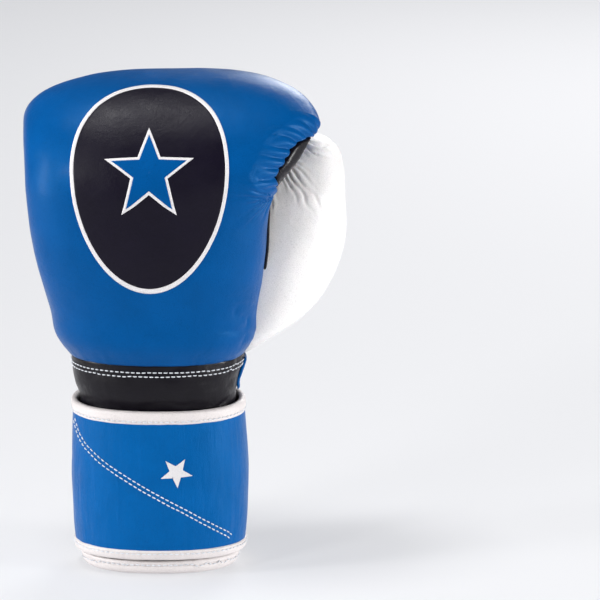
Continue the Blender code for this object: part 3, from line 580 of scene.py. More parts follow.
def scaled(colour, share):
    return tuple(min(1.0, part * share) for part in colour)


def relief(tree, make, layers):
    """Bump from (height output, strength, depth in metres), each on top of the last."""
    normal = None
    for height, strength, depth in layers:
        push = make("ShaderNodeBump", Strength=strength, Distance=depth)
        tree.links.new(height, push.inputs["Height"])
        if normal:
            tree.links.new(normal, push.inputs["Normal"])
        normal = push.outputs["Normal"]
    return normal


def leather(name, colour, roughness=0.42, grain=0.0011, pebble=0.3, creased=0.25,
            crease_scale=(60.0, 60.0, 60.0), contrast=0.12, **constants):
    """Coated leather: fine pebbled grain, pores, soft creases and a worn, uneven sheen."""
    made, shader, make = start_material(name, roughness, **constants)
    tree = made.node_tree
    vector = stretched(tree, make, (1.0, 1.0, 1.0))
    dye = shade(tree, make, vector, scaled(colour, 1.0 - contrast), colour,
                scaled(colour, 1.0 + contrast), 0.03)
    cells = make("ShaderNodeTexVoronoi", Scale=1.0 / grain, feature="DISTANCE_TO_EDGE")
    pores = make("ShaderNodeTexNoise", Scale=2.2 / grain, Detail=4.0, Roughness=0.7)
    wander = make("ShaderNodeTexNoise", Scale=0.35 / grain, Detail=3.0)
    wrinkle = make("ShaderNodeTexNoise", Scale=1.0, Detail=5.0, Roughness=0.6, Distortion=0.8)
    for item in (cells, pores, wander):
        tree.links.new(vector, item.inputs["Vector"])
    tree.links.new(stretched(tree, make, crease_scale), wrinkle.inputs["Vector"])
    pebbles = make("ShaderNodeMapRange", **{"From Min": 0.0, "From Max": 0.14})
    pebbles.interpolation_type = "SMOOTHSTEP"
    tree.links.new(cells.outputs["Distance"], pebbles.inputs["Value"])
    normal = relief(tree, make, ((wrinkle.outputs["Fac"], creased, 0.0012),
                                 (wander.outputs["Fac"], pebble, 0.0004),
                                 (pebbles.outputs["Result"], pebble, 0.00010),
                                 (pores.outputs["Fac"], pebble * 0.7, 0.00008)))
    tree.links.new(normal, shader.inputs["Normal"])
    worn = make("ShaderNodeMapRange", **{"From Min": 0.3, "From Max": 0.7,
                                         "To Min": roughness - 0.06, "To Max": roughness + 0.08})
    rub = make("ShaderNodeTexNoise", Scale=55.0, Detail=5.0, Roughness=0.65)
    tree.links.new(vector, rub.inputs["Vector"])
    tree.links.new(rub.outputs["Fac"], worn.inputs["Value"])
    tree.links.new(worn.outputs["Result"], shader.inputs["Roughness"])
    seams = make("ShaderNodeMixRGB", blend_type="MULTIPLY")
    pit = make("ShaderNodeMapRange", **{"From Min": 0.0, "From Max": 0.1, "To Min": 0.84,
                                        "To Max": 1.0})
    seams.inputs["Fac"].default_value = 1.0
    tree.links.new(cells.outputs["Distance"], pit.inputs["Value"])
    tree.links.new(dye, seams.inputs["Color1"])
    tree.links.new(pit.outputs["Result"], seams.inputs["Color2"])
    tree.links.new(seams.outputs["Color"], shader.inputs["Base Color"])
    return made


def cloth(name, colour, roughness=0.9, thread=0.0011, depth=0.00025, contrast=0.25, **constants):
    """Woven cloth: two crossing sets of threads, with colour that drifts a little."""
    made, shader, make = start_material(name, roughness, **constants)
    tree = made.node_tree
    vector = stretched(tree, make, (1.0, 1.0, 1.0))
    dye = shade(tree, make, vector, scaled(colour, 1.0 - contrast), colour,
                scaled(colour, 1.0 + contrast), 0.012)
    sets = []
    for direction in ("DIAGONAL", "Z"):
        threads = make("ShaderNodeTexWave", Scale=0.31 / thread, Distortion=1.2, Detail=2.0)
        threads.inputs["Detail Scale"].default_value = 2.0
        threads.bands_direction = direction
        tree.links.new(vector, threads.inputs["Vector"])
        sets.append(threads.outputs["Fac"])
    weave = make("ShaderNodeMath", operation="MULTIPLY")
    tree.links.new(sets[0], weave.inputs[0])
    tree.links.new(sets[1], weave.inputs[1])
    fluff = make("ShaderNodeTexNoise", Scale=1.5 / thread, Detail=3.0)
    tree.links.new(vector, fluff.inputs["Vector"])
    normal = relief(tree, make, ((weave.outputs["Value"], 0.8, depth),
                                 (fluff.outputs["Fac"], 0.4, depth * 0.5)))
    tree.links.new(normal, shader.inputs["Normal"])
    tree.links.new(dye, shader.inputs["Base Color"])
    return made


def foam(name, colour, cell=0.0014, **constants):
    """Cellular foam: small round pits at two sizes."""
    made, shader, make = start_material(name, 0.92, **constants)
    tree = made.node_tree
    vector = stretched(tree, make, (1.0, 1.0, 1.0))
    dye = shade(tree, make, vector, scaled(colour, 0.75), colour, scaled(colour, 1.2), 0.01)
    large = make("ShaderNodeTexVoronoi", Scale=1.0 / cell)
    small = make("ShaderNodeTexVoronoi", Scale=2.7 / cell)
    for item in (large, small):
        tree.links.new(vector, item.inputs["Vector"])
    normal = relief(tree, make, ((large.outputs["Distance"], 0.8, 0.0005),
                                 (small.outputs["Distance"], 0.5, 0.0002)))
    tree.links.new(normal, shader.inputs["Normal"])
    tree.links.new(dye, shader.inputs["Base Color"])
    return made


BLUE = (0.0006, 0.072, 0.26)
STRAP_BLUE = (0.0008, 0.100, 0.34)
BLUE_SHINE = (0.1, 0.5, 1.0, 1.0)
BLACK = (0.004, 0.003, 0.006)
WHITE = (0.83, 0.81, 0.805)
BIND_WHITE = (0.74, 0.69, 0.68)

MATERIALS = {
    "blue_leather": leather("blue_leather", BLUE, 0.36, Specular_IOR_Level=0.2,
                            Specular_Tint=BLUE_SHINE, Coat_Weight=0.025, Coat_Roughness=0.2),
    "strap_leather": leather("strap_leather", STRAP_BLUE, 0.36, pebble=0.45, creased=0.55,
                             crease_scale=(130.0, 130.0, 22.0), Specular_IOR_Level=0.2,
                             Specular_Tint=BLUE_SHINE, Coat_Weight=0.03, Coat_Roughness=0.2),
    "black_leather": leather("black_leather", BLACK, 0.32, pebble=0.3, creased=0.6,
                             crease_scale=(75.0, 75.0, 60.0), contrast=0.3,
                             Specular_IOR_Level=0.14, Coat_Weight=0.14, Coat_Roughness=0.18),
    "white_leather": leather("white_leather", WHITE, 0.42, pebble=0.2, creased=0.35,
                             crease_scale=(70.0, 70.0, 70.0), contrast=0.03,
                             Subsurface_Weight=0.05, Subsurface_Scale=0.002),
    "white_binding": leather("white_binding", BIND_WHITE, 0.46, grain=0.0008, pebble=0.3,
                             creased=0.5, crease_scale=(160.0, 160.0, 160.0), contrast=0.06),
    "badge_navy": leather("badge_navy", (0.005, 0.0035, 0.011), 0.38, pebble=0.35, creased=0.2,
                          contrast=0.2, Specular_IOR_Level=0.16),
    "badge_white": leather("badge_white", (0.72, 0.70, 0.71), 0.5, pebble=0.3, creased=0.2,
                           contrast=0.05),
    "grey_mesh": cloth("grey_mesh", (0.60, 0.59, 0.63), 0.7, thread=0.0006, depth=0.0001,
                       contrast=0.1, Sheen_Weight=0.2),
    "mesh_backing": cloth("mesh_backing", (0.22, 0.21, 0.24), thread=0.0008),
    "lining_cloth": cloth("lining_cloth", (0.012, 0.012, 0.016), thread=0.0010,
                          Sheen_Weight=0.15),
    "hook_tape": cloth("hook_tape", (0.02, 0.02, 0.02), thread=0.0007, depth=0.0005,
                       Sheen_Weight=0.3),
    "thread": cloth("thread", (0.70, 0.72, 0.76), 0.6, thread=0.0004, depth=0.0001,
                    contrast=0.08),
    "foam": foam("foam", (0.30, 0.30, 0.32)),
    "soft_foam": foam("soft_foam", (0.55, 0.52, 0.46), cell=0.0020),
    "bar_rubber": foam("bar_rubber", (0.05, 0.05, 0.05), cell=0.0009),
}


# ---------------------------------------------------------------- the fist

def thumb_side_seam(place):
    """Angle of the knuckle shell's edge on the thumb side: it arches over the black web."""
    front = mix(THUMB_SEAM, CRESCENT_SEAM, smooth_step(238.0, 258.0, place))
    top = mix(front, EAR_SEAM, smooth_step(272.0, 312.0, place))
    inner = mix(top, FOLD_SEAM, smooth_step(332.0, 366.0, place))
    return mix(inner, WEB_SEAM, smooth_step(392.0, 424.0, place))


def fan(points, centre, count, first, last, start, stop, seed=0.0):
    """Gathers that spread from a centre, seen from the back of the hand, from -1.3 to 0.7.

    first and last bound their directions in degrees, start and stop their distances.
    """
    across, up = points[..., 0] - centre[0], points[..., 2] - centre[1]
    distance = np.hypot(across, up)
    turn = np.degrees(np.arctan2(up, across)) % 360.0
    turn = turn + 3.0 * rough(points, 9.0, seed)
    share = (turn - first) / (last - first)
    inside = smooth_step(0.0, 0.12, share) * (1.0 - smooth_step(0.88, 1.0, share))
    lines = (1.0 - np.abs(np.sin(share * count * math.pi))) ** 2
    reach = stop * (1.0 + 0.35 * np.sin(share * 17.0 + seed))
    fade = smooth_step(start * 0.5, start, distance) * (1.0 - smooth_step(start, reach, distance))
    return (0.7 - 2.0 * lines) * inside * fade


TIP_TURNS = np.radians(np.linspace(4.0, 89.0, 20))
TIP_PLACES = ROUND_START + (TUBE_END - ROUND_START) * np.sin(TIP_TURNS)


EAR_START, EAR_END = 222.0, 428.0
PLEAT_PITCH = 6.2
RIDGE_GAP = 20.0


def ear_relief(points, places, gap):
    """Pleats that run up from the seam of the ear to the ridge round it, and that ridge."""
    ear = smooth_step(238.0, 252.0, places) * (1.0 - smooth_step(402.0, 424.0, places))
    ridge_at = RIDGE_GAP + 6.0 * smooth_step(275.0, 315.0, places) + 3.0 * rough(points, 25.0, 8.0)
    past = gap - ridge_at
    ridge = np.where(past < 0.0, np.clip(1.0 + past / ridge_at, 0.0, 1.0) ** 1.2,
                     np.exp(-(np.maximum(past, 0.0) / 24.0) ** 1.3))
    phase = (places + 1.8 * rough(points, 14.0, 5.0)) / PLEAT_PITCH
    folds = np.abs(np.sin(phase * math.pi)) ** 0.7
    reach = ridge_at * (1.05 + 0.3 * np.sin(np.floor(phase) * 2.4))
    fade = np.clip(1.0 - gap / reach, 0.0, 1.0) ** 0.8
    return ear * (2.6 * ridge + fade * (3.1 * folds - 1.6))


def make_fist():
    places = np.concatenate([spread(SHELL_HEM + 0.5, EAR_START, 88.0, 2.0)[:-5],
                             steps(EAR_START - 1.2, EAR_END, 250), [ROUND_START],
                             TIP_PLACES])[:, None]
    shares = np.concatenate([spread(0.0, 0.19, 60.0, 1.1)[:-5], steps(0.19, 0.99, 118),
                             spread(0.99, 1.0, 3.3, 0.8)[1:]])[None, :]
    angles = mix(thumb_side_seam(places), PINKY_SEAM, shares)
    points = tube_point(places, angles)
    gap = edge_distance(points, ("left",))
    tuck = fan(points, (71.0, 243.0), 7.0, 140.0, 262.0, 3.0, 30.0, 3.0)
    tuck *= smooth_step(0.0, -20.0, points[..., 1])
    soft = 0.55 * rough(points, 40.0, 1.0) + 0.16 * rough(points, 13.0, 2.0)
    hem = 2.6 * bump(places, 149.0, 10.0) - 0.8 * bump(places, 134.0, 5.0)
    hem = hem + 0.35 * bump(places, 138.0, 9.0) * rough(points * (1.0, 1.0, 0.15), 4.5, 4.0)
    slack = -1.0 * creases(points * (0.9, 0.5, 1.6), 15.0, 6.0)
    slack = slack * bump(points[..., 0], 50.0, 16.0) * bump(places, 158.0, 24.0)
    height = soft + ear_relief(points, places, gap) + hem + 0.9 * tuck + slack
    made = panel("fist_shell", "blue_leather", tube_point, places, angles, height,
                 nodes=("knuckle_shell",))

    places = np.concatenate([steps(SHELL_HEM + 6.0, ROUND_START, 70)[:-1], [ROUND_START],
                             TIP_PLACES])[:, None]
    shares = steps(0.0, 1.0, 70)[None, :]
    angles = mix(thumb_side_seam(places) + 4.0, PINKY_SEAM - 4.0, shares)
    panel("impact_pad", "foam", tube_point, places, angles, 0.0 * angles, level=-4.0, thick=7.0,
          nodes=("impact_foam",))

    places = np.concatenate([spread(BEND_START, ROUND_START, 60.0, 2.0)[:-2], [ROUND_START],
                             TIP_PLACES])[:, None]
    angles = spread(PINKY_SEAM, 360.0 + WEB_SEAM, 130.0, 3.0)[None, :]
    points = tube_point(places, angles)
    panel("fist_inner", "blue_leather", tube_point, places, angles,
          0.3 * rough(points, 18.0, 9.0), nodes=("curl_inner_panel",))

    places = steps(150.0, 423.0, 240)[:, None]
    shares = steps(0.0, 1.0, 34)[None, :]
    inner = mix(-38.0, WEB_SEAM, smooth_step(222.0, 240.0, places))
    angles = mix(inner, thumb_side_seam(places) - 0.5, shares)
    points = tube_point(places, angles)
    sag = 0.25 * rough(points, 4.0, 11.0) - 0.4 * creases(points * (1.6, 0.7, 0.7), 6.0, 12.0)
    panel("web", "black_leather", tube_point, places, angles, sag, level=-0.4, thick=1.2,
          nodes=("thumb_web",))
    # Black leather bar along the thumb seam: painted seam shadow, a thin dark line that stands for
    # the shade where the fist's edge meets the thumb.
    seam_shadow_places = steps(141.0, 243.0, 90)
    turns = np.radians(np.arange(0, 360, 45))
    around = 1.5 + 1.0 * np.cos(turns)[None, :]
    rings = lifted(tube_point, *np.broadcast_arrays(seam_shadow_places[:, None], around),
                   0.5 + 1.0 * np.broadcast_to(np.sin(turns), (90, 8)))
    sweep("thumb_seam_shadow_bar", "black_leather", rings)
    return made


# ---------------------------------------------------------------- the thumb

MITT_INSET = -0.7


def mitt_cutter():
    """Closed solid just inside the mitt's surface, which the thumb is trimmed against."""
    places = np.concatenate([spread(100.0, ROUND_START, 330.0, 3.0, False), TIP_PLACES])
    rings = lifted(tube_point, places[:, None], np.arange(0.0, 360.0, 2.0)[None, :], MITT_INSET)
    rows, columns = rings.shape[:2]
    mesh = bpy.data.meshes.new("mitt_cutter")
    faces = grid_faces(rows, columns, 0, round_rows=True)
    faces += [list(range(columns)), list(range((rows - 1) * columns, rows * columns))]
    mesh.from_pydata(to_frame(rings).tolist(), [], faces)
    made = bpy.data.objects.new("mitt_cutter", mesh)
    bpy.context.scene.collection.objects.link(made)
    outwards(made)
    return made


def cut_off(made, cutters):
    """Take the cutters out of a piece and keep its largest part."""
    for cutter in cutters:
        cut = made.modifiers.new(cutter.name, "BOOLEAN")
        cut.operation, cut.solver, cut.object = "DIFFERENCE", "MANIFOLD", cutter
    graph = bpy.context.evaluated_depsgraph_get()
    mesh = bpy.data.meshes.new_from_object(made.evaluated_get(graph), depsgraph=graph)
    made.modifiers.clear()
    data = bmesh.new()
    data.from_mesh(mesh)
    left, groups = set(data.verts), []
    while left:
        group, waiting = [], [left.pop()]
        while waiting:
            vertex = waiting.pop()
            group.append(vertex)
            near = [e.other_vert(vertex) for e in vertex.link_edges]
            near = [other for other in near if other in left]
            left.difference_update(near)
            waiting += near
        groups.append(group)
    groups.sort(key=len)
    bmesh.ops.delete(data, geom=[v for group in groups[:-1] for v in group], context="VERTS")
    bmesh.ops.recalc_face_normals(data, faces=data.faces)
    data.to_mesh(mesh)
    data.free()
    mesh.shade_smooth()
    made.data = mesh


def thumb_height(points):
    """Soft unevenness, and the gathers that fan out under the web."""
    gathers = fan(points, (66.0, 270.0), 19.0, 262.0, 374.0, 12.0, 50.0, 1.0)
    gathers *= 1.0 - smooth_step(30.0, 44.0, points[..., 1])
    gathers *= 1.0 - smooth_step(261.5, 264.0, points[..., 2])
    inner = creases(points * (0.5, 0.5, 1.5), 7.0, 21.0) * smooth_step(24.0, 40.0, points[..., 1])
    inner *= (1.0 - smooth_step(52.0, 72.0, points[..., 0])) * smooth_step(190.0, 225.0,
                                                                          points[..., 2])
    return 0.5 * rough(points, 30.0, 14.0) + 1.6 * gathers - 0.45 * inner


def make_thumb():
    top = 250.0 + 14.4 * np.sin(np.radians(np.linspace(3.0, 89.0, 26)))
    heights = np.concatenate([spread(131.3, 212.0, 81.0, 1.9)[:-5], steps(211.0, 250.0, 50),
                              top])[:, None]
    mitt = mitt_cutter()
    fold = bpy.data.objects.new("fold_cutter", bpy.data.meshes.new("fold_cutter"))
    data = bmesh.new()
    bmesh.ops.create_cube(data, size=1.0)
    for vertex in data.verts:
        place = np.array(vertex.co) * (110.0, 14.0, 62.0) + (-12.0, 18.0, 214.0)
        vertex.co = to_frame(place)[0]
    data.to_mesh(fold.data)
    data.free()
    bpy.context.scene.collection.objects.link(fold)
    for name, first, last, length, node in (
            ("thumb_back", -130.0, 151.0, 250.0, "thumb_outer_panel"),
            ("thumb_inner", 151.0, 230.0, 80.0, "thumb_inner_panel")):
        angles = spread(first, last, length, 1.2)[None, :]
        points = thumb_point(heights, angles)
        made = panel(name, "white_leather", thumb_point, heights, angles, thumb_height(points),
                     roll=1.4, width=2.6, sides=("top", "left", "right"), nodes=(node,))
        cut_off(made, (mitt, fold))
    for cutter in (mitt, fold):
        bpy.data.objects.remove(cutter)


# ---------------------------------------------------------------- wrist and cuff

CUFF_START = float(angle_at(SLIT_X + 5.4, 60.0))
CUFF_STOP = float(angle_at(SLIT_X - 5.4, 60.0)) + 360.0


def make_wrist():
    heights = np.concatenate([steps(LEATHER_START, 100.0, 24),
                              spread(103.0, 135.2, 32.0, 1.1)])[:, None]
    angles = spread(WRIST_SEAM, PINKY_SEAM, 235.0, 1.8)[None, :]
    points = tube_point(heights, angles)
    folds = creases(points * (0.45, 0.45, 1.6), 13.0, 31.0)
    side = smooth_step(58.0, 8.0, angles) + 0.35
    height = (1.0 * bump(heights, 121.0, 10.0) - 1.0 * bump(heights, 107.0, 5.0)
              - 0.9 * bump(heights, 133.5, 3.0) - 0.8 * folds * side
              + 0.4 * rough(points, 12.0, 32.0))
    height = np.where(heights > 102.0, height, -0.2)
    made = panel("wrist_band", "black_leather", tube_point, heights, angles, height,
                 nodes=("wrist_panel_back",))
    heights = spread(100.0, 150.0, 50.0, 1.5)[:, None]
    angles = spread(WRIST_SEAM - 34.0, WRIST_SEAM + 14.0, 42.0, 1.5)[None, :]
    folds = creases(tube_point(heights, angles), 9.0, 34.0)
    panel("wrist_gusset", "black_leather", tube_point, heights, angles, -0.5 * folds, level=-1.9,
          thick=1.2)
    turns = steps(WRIST_SEAM + 3.0, PINKY_SEAM - 3.0, 240)
    stitch_rows("wrist_stitches", tree_of(made), [lifted(tube_point, SHELL_HEM - below, turns, 2.0)
                                                  for below in (2.6, 5.4)])
    heights = spread(111.0, 132.0, 21.0, 1.2)[:, None]
    angles = spread(-13.0, 6.0, 17.0, 1.2)[None, :]
    points = tube_point(heights, angles)
    tab = panel("wrist_tab_cover", "blue_leather", tube_point, heights, angles,
                0.9 * bump(heights, 124.0, 7.0) + 0.4 * rough(points, 6.0, 33.0), level=2.2,
                thick=1.7, nodes=("wrist_tab",))
    line = lifted(tube_point, 115.5, steps(-11.5, 4.5, 30), 4.0)
    stitch_on("wrist_tab_stitches", tree_of(tab), line)


def rim_point(angle, share, z):
    outside = tube_point(z, angle)
    inside = tube_point(z, angle, (4.2, 1.0))
    return outside + (inside - outside) * np.asarray(share)[..., None]


def make_cuff():
    angles = steps(CUFF_START, CUFF_STOP, 200)
    profile = np.array(((-0.10, RIM_TOP - 0.2), (-0.16, 6.4), (-0.11, 5.8), (-0.17, 5.0),
                        (-0.17, 2.6), (-0.08, 1.0), (0.12, 0.15), (0.4, 0.0), (0.65, 0.0),
                        (0.9, 0.15), (1.04, 1.0), (1.10, 2.6), (1.10, 6.0), (1.04, RIM_TOP - 0.2),
                        (0.88, RIM_TOP), (0.06, RIM_TOP)))
    wave = np.array([noise.noise(Vector((angle / 11.0, 0.0, 5.0))) for angle in angles])[:, None]
    share = profile[None, :, 0] + 0.05 * wave
    height = profile[None, :, 1] + 0.5 * np.abs(wave) * (profile[None, :, 1] > 4.0)
    rings = rim_point(np.broadcast_to(angles[:, None], share.shape), share, height)
    made = sweep("cuff_rim", "white_binding", rings, nodes=("cuff_binding",))
    turns = steps(CUFF_START + 2.0, CUFF_STOP - 2.0, 300)
    line = lifted(tube_point, 6.2, turns, 2.5)
    stitch_on("cuff_rim_stitches", tree_of(made), line)
    heights = spread(RIM_TOP + 1.0, 118.2, 108.0, 3.0)[:, None]
    columns = spread(CUFF_START, CUFF_STOP, 240.0, 3.0)[None, :]

    def inside(u, v):
        return tube_point(u, v, (3.0, 1.0))

    points = inside(heights, columns)
    panel("cuff_lining_cloth", "lining_cloth", inside, heights, columns,
          -0.8 * creases(points, 15.0, 41.0), thick=1.2, roll=0.4, nodes=("cuff_lining",))
    places = np.concatenate([steps(118.6, ROUND_START, 90), TIP_PLACES])[:, None]
    shares = steps(0.0, 0.985, 70)[None, :]
    columns = mix(thumb_side_seam(places), PINKY_SEAM, shares)
    points = inside(places, columns)
    panel("hand_lining_cloth", "lining_cloth", inside, places, columns,
          -0.8 * creases(points, 18.0, 42.0), thick=1.2, roll=0.4, nodes=("hand_lining_back",))
    columns = steps(PINKY_SEAM + 1.0, 359.0 + WEB_SEAM, 40)[None, :]
    points = inside(places, columns)
    panel("palm_lining_cloth", "lining_cloth", inside, places, columns,
          -0.3 * creases(points, 14.0, 43.0), thick=1.2, roll=0.4, nodes=("palm_lining",))


# ---------------------------------------------------------------- the strap

def back_angle(x):
    """Angle on the back of the cuff where its leather has the given x."""
    turns = np.linspace(5.0, 175.0, 341)
    return np.interp(-np.asarray(x), -tube_point(60.0, turns)[:, 0], turns)


def resample(path, pitch):
    path = np.asarray(path, float)
    run = np.concatenate([[0.0], np.cumsum(np.linalg.norm(np.diff(path, axis=0), axis=1))])
    places = np.linspace(0.0, run[-1], max(2, int(run[-1] / pitch) + 1))
    return np.stack([np.interp(places, run, path[:, k]) for k in range(path.shape[1])], -1)


def rounded(corners, radius):
    """Flat path through corners, each inner one rounded, with a point about every 1.5 mm."""
    corners = np.asarray(corners, float)
    path = [corners[0]]
    for before, corner, after in zip(corners, corners[1:], corners[2:]):
        start = corner + (before - corner) / np.linalg.norm(before - corner) * radius
        end = corner + (after - corner) / np.linalg.norm(after - corner) * radius
        for share in np.linspace(0.0, 1.0, 13):
            path.append(mix(mix(start, corner, share * 0.9), mix(corner, end, 0.1 + share * 0.9),
                            share))
    path.append(corners[-1])
    return resample(path, 1.5)


# Widths of the bindings, and how far their stitches lie from their inner edge.
TOP_BINDING, FOOT_BINDING, BINDING_SEAM = 8.4, 6.4, 1.9


def band(name, first, last, low, high, height, level, thick, **how):
    """Strap leather between two angles round the cuff and two edges that follow the run."""
    length = abs(run_at(last) - run_at(first))
    runs = spread(run_at(first), run_at(last), length, 1.4)[None, :]
    shares = spread(0.0, 1.0, 88.0, 1.6)[:, None]
    z = mix(low(runs), high(runs), shares)
    angles = angle_of(np.broadcast_to(runs, z.shape))
    flat = np.stack([np.broadcast_to(runs, z.shape), z, np.zeros(z.shape)], -1)
    return panel(name, "strap_leather", tube_point, z, angles, height(flat), thick,
                 level=level, **how)


def strap_wear(flat):
    """Crown of the strap between its bindings, with creases that run up and down it."""
    z = flat[..., 1]
    crown = 1.1 * np.maximum(0.0, 1.0 - ((z - 58.0) / 45.0) ** 2)
    upright = creases(flat * (1.0, 0.16, 1.0), 7.0, 51.0)
    patches = smooth_step(-0.25, 0.35, rough(flat, 26.0, 52.0))
    fine = rough(flat * (1.0, 0.35, 1.0), 2.6, 53.0)
    return crown + 0.35 * rough(flat, 22.0, 54.0) - 0.34 * upright * patches + 0.07 * fine


def pebbled_wear(flat):
    """The stretch of strap that bends round the thumb side: crumpled into upright folds."""
    upright = creases(flat * (1.0, 0.22, 1.0), 4.2, 55.0)
    return (1.0 * np.maximum(0.0, 1.0 - ((flat[..., 1] - 57.0) / 45.0) ** 2)
            - 0.55 * upright + 0.16 * rough(flat * (1.0, 0.5, 1.0), 2.4, 56.0))


DIAGONAL = ((-53.4, 95.0), (-49.0, 85.0), (-44.4, 78.3), (-35.0, 69.5), (-23.6, 61.6),
            (-6.0, 50.5), (12.0, 40.0), (27.0, 30.0), (38.0, 22.0), (42.0, 18.0))


def diagonal_path():
    """The seam across the back of the strap, as run and height."""
    path = np.array([(run_at(back_angle(min(max(x, -49.0), 49.0))), z) for x, z in DIAGONAL])
    path[0, 0] = run_at(168.0)
    path[1, 0] = run_at(157.0)
    return resample(path, 1.5)


# The leather stops this far inside the outer edge of its bindings.
STRAP_CLEAR, STRAP_MIDDLE = 3.0, 55.0


def level_edge(height):
    """An edge of the strap that runs at one height."""
    return lambda run: np.full(np.shape(run), height)


LEATHER_FOOT = level_edge(STRAP_BOTTOM + STRAP_CLEAR)


def corner_cut(past, radius):
    """How far the leather is cut back for a free corner, by distance past its middle."""
    left = np.clip((radius - np.abs(past)) / radius, 0.0, 1.0)
    return radius * (1.0 - np.sqrt(1.0 - left ** 2 * 0.99))


def bend_between(first, second, *spots):
    """Two bodies and the spots, by angle and distance out, returned together in one tuple."""
    return (first, second, *(tuple(to_frame(cuff(run_at(angle), STRAP_MIDDLE, out))[0])
                             for angle, out in spots))


def strap_binding(name, last, z, side, width, node):
    """Binding along one edge of the strap's fixed length, with its stitches."""
    length = abs(run_at(last) - run_at(HINGE_START))
    runs = steps(run_at(HINGE_START), run_at(last), int(length / 1.6) + 2)
    path = np.stack([runs, np.full(runs.shape, z)], -1)
    profile = fold_profile(width, STRAP_OUT + 0.9, 0.25)
    made = bind(name, cuff, path, profile, side=side, wave=0.25, nodes=(node,))
    inset = side_vectors(path) * side * (width - BINDING_SEAM)
    stitch_on(name + "_stitches", tree_of(made), cuff(*(path + inset).T, STRAP_OUT + 2.0)[1:-1])


def make_strap():
    stop = 360.0 + TAB_HINGE - 1.0
    diagonal = diagonal_path()
    rising = diagonal[::-1]

    def height(flat):
        above = flat[..., 1] - np.interp(flat[..., 0], rising[:, 0], rising[:, 1])
        inside = (flat[..., 0] < rising[-1, 0]) & (flat[..., 0] > rising[0, 0])
        lap = 0.45 * smooth_step(-0.6, 0.6, above) * inside
        dents = 0.3 * (bump(above, 2.6, 1.0) + bump(above, 5.6, 1.0)) * inside
        return strap_wear(flat) + lap - dents

    made = band("strap_back_leather", HINGE_START, stop, LEATHER_FOOT,
                level_edge(STRAP_TOP - STRAP_CLEAR), height, STRAP_OUT, 2.6, sides=(),
                nodes=("strap_back",))
    left = side_vectors(diagonal)
    up = left * np.where(left[:, 1:] > 0, 1.0, -1.0)
    stitch_rows("strap_diagonal", tree_of(made), [cuff(*(diagonal + up * gap).T, STRAP_OUT + 2.5)
                                                  for gap in (2.0, 4.6)])
    strap_binding("strap_top", stop, STRAP_TOP, -1.0, TOP_BINDING, "strap_top_binding")
    strap_binding("strap_bottom", stop, STRAP_BOTTOM, 1.0, FOOT_BINDING, "strap_bottom_binding")
    return made


def flap_top(run):
    share = (run - run_at(FLAP_HINGE)) / (run_at(FLAP_END) - run_at(FLAP_HINGE))
    return mix(101.0, 89.0, np.clip(share, -0.2, 1.0))


def tab_top(run):
    share = (run - run_at(TAB_HINGE)) / (run_at(TAB_END) - run_at(TAB_HINGE))
    return mix(109.0, 93.0, share)


def make_hinge():
    """Where the strap's outer end bends away from the cuff at its stitch line."""
    body = bend_between("glove", "strap_flap", (-50.0, 5.0), (-59.0, 7.0))
    start, end = run_at(HINGE_START), run_at(HINGE_END)

    def rise(run):
        return (FLAP_OUT - STRAP_OUT) * smooth_step(start, end, run)

    def top(run):
        return mix(STRAP_TOP, flap_top(end), smooth_step(start, end, run))

    band("strap_bend", HINGE_START, HINGE_END, LEATHER_FOOT, lambda run: top(run) - STRAP_CLEAR,
         lambda flat: pebbled_wear(flat) + rise(flat[..., 0]), STRAP_OUT, 1.0,
         sides=("right",), body=body)
    for name, edge, side, width in (
            ("bend_top", top, 1.0, TOP_BINDING),
            ("bend_bottom", level_edge(STRAP_BOTTOM), -1.0, FOOT_BINDING)):
        runs = steps(start, end, 16)
        path = np.stack([runs, edge(runs)], -1)
        profile = np.array(fold_profile(width, STRAP_OUT + 0.9, 0.3))
        inward = side_vectors(path) * side
        a, b = profile[:, 0], profile[:, 1]
        lift = rise(runs)[:, None] * (0.25 + 0.75 * (b > b.mean()))[None, :]
        rings = cuff(path[:, :1] + inward[:, :1] * a, path[:, 1:] + inward[:, 1:] * a, b + lift)
        made = sweep(name, "white_binding", rings, body=body)
        line = cuff(*(path + inward * (width - BINDING_SEAM)).T, STRAP_OUT + 2.0 + rise(runs))
        stitch_on(name + "_stitches", tree_of(made), line[1:-1], body=body)


def make_flap():
    body = bend_between("strap_flap", "strap_tip", (FLAP_FOLD + 7.0, 6.0), (FLAP_FOLD - 7.0, 6.0))
    start, end = run_at(HINGE_END), run_at(FLAP_END)

    def cut(run):
        return corner_cut(run - end - 3.0, 14.0)

    made = band("flap_leather", HINGE_END, angle_of(end + 4.0),
                lambda run: LEATHER_FOOT(run) + cut(run),
                lambda run: flap_top(run) - STRAP_CLEAR - cut(run),
                lambda flat: 0.6 * strap_wear(flat), FLAP_OUT, 2.0, sides=("left",), body=body,
                nodes=("flap_root", "flap_tip"))
    line = cuff(start - 1.6, steps(STRAP_BOTTOM + 7.0, 93.0, 60), FLAP_OUT + 2.0)
    stitch_on("flap_seam_1", tree_of(made), line, body="strap_flap")
    open_edge("flap_edge", start, end, flap_top, 15.0, FLAP_OUT, FLAP_IN - 0.7, 8.0, body,
              ("flap_root_top_binding", "flap_root_bottom_binding", "flap_tip_binding"))
    for name, angles, heights, level, rides, node in (
            ("hook_tape_patch", (-106.0, -144.0), (26.0, 78.0), 4.9, "strap_tip", "hook_patch"),
            ("loop_tape_patch", (-96.0, -147.0), (22.0, 82.0), 3.8, "inner_tab", "loop_patch")):
        z = spread(*heights, 55.0, 2.0)[:, None]
        turns = spread(*angles, 42.0, 2.0)[None, :]
        fuzz = 0.12 * rough(np.stack(np.broadcast_arrays(turns * 3.0, z, z * 0.0), -1), 2.0, 61.0)
        panel(name, "hook_tape", tube_point, z, turns, fuzz, thick=0.7, roll=0.3, width=1.0,
              level=level, body=rides, nodes=(node,))


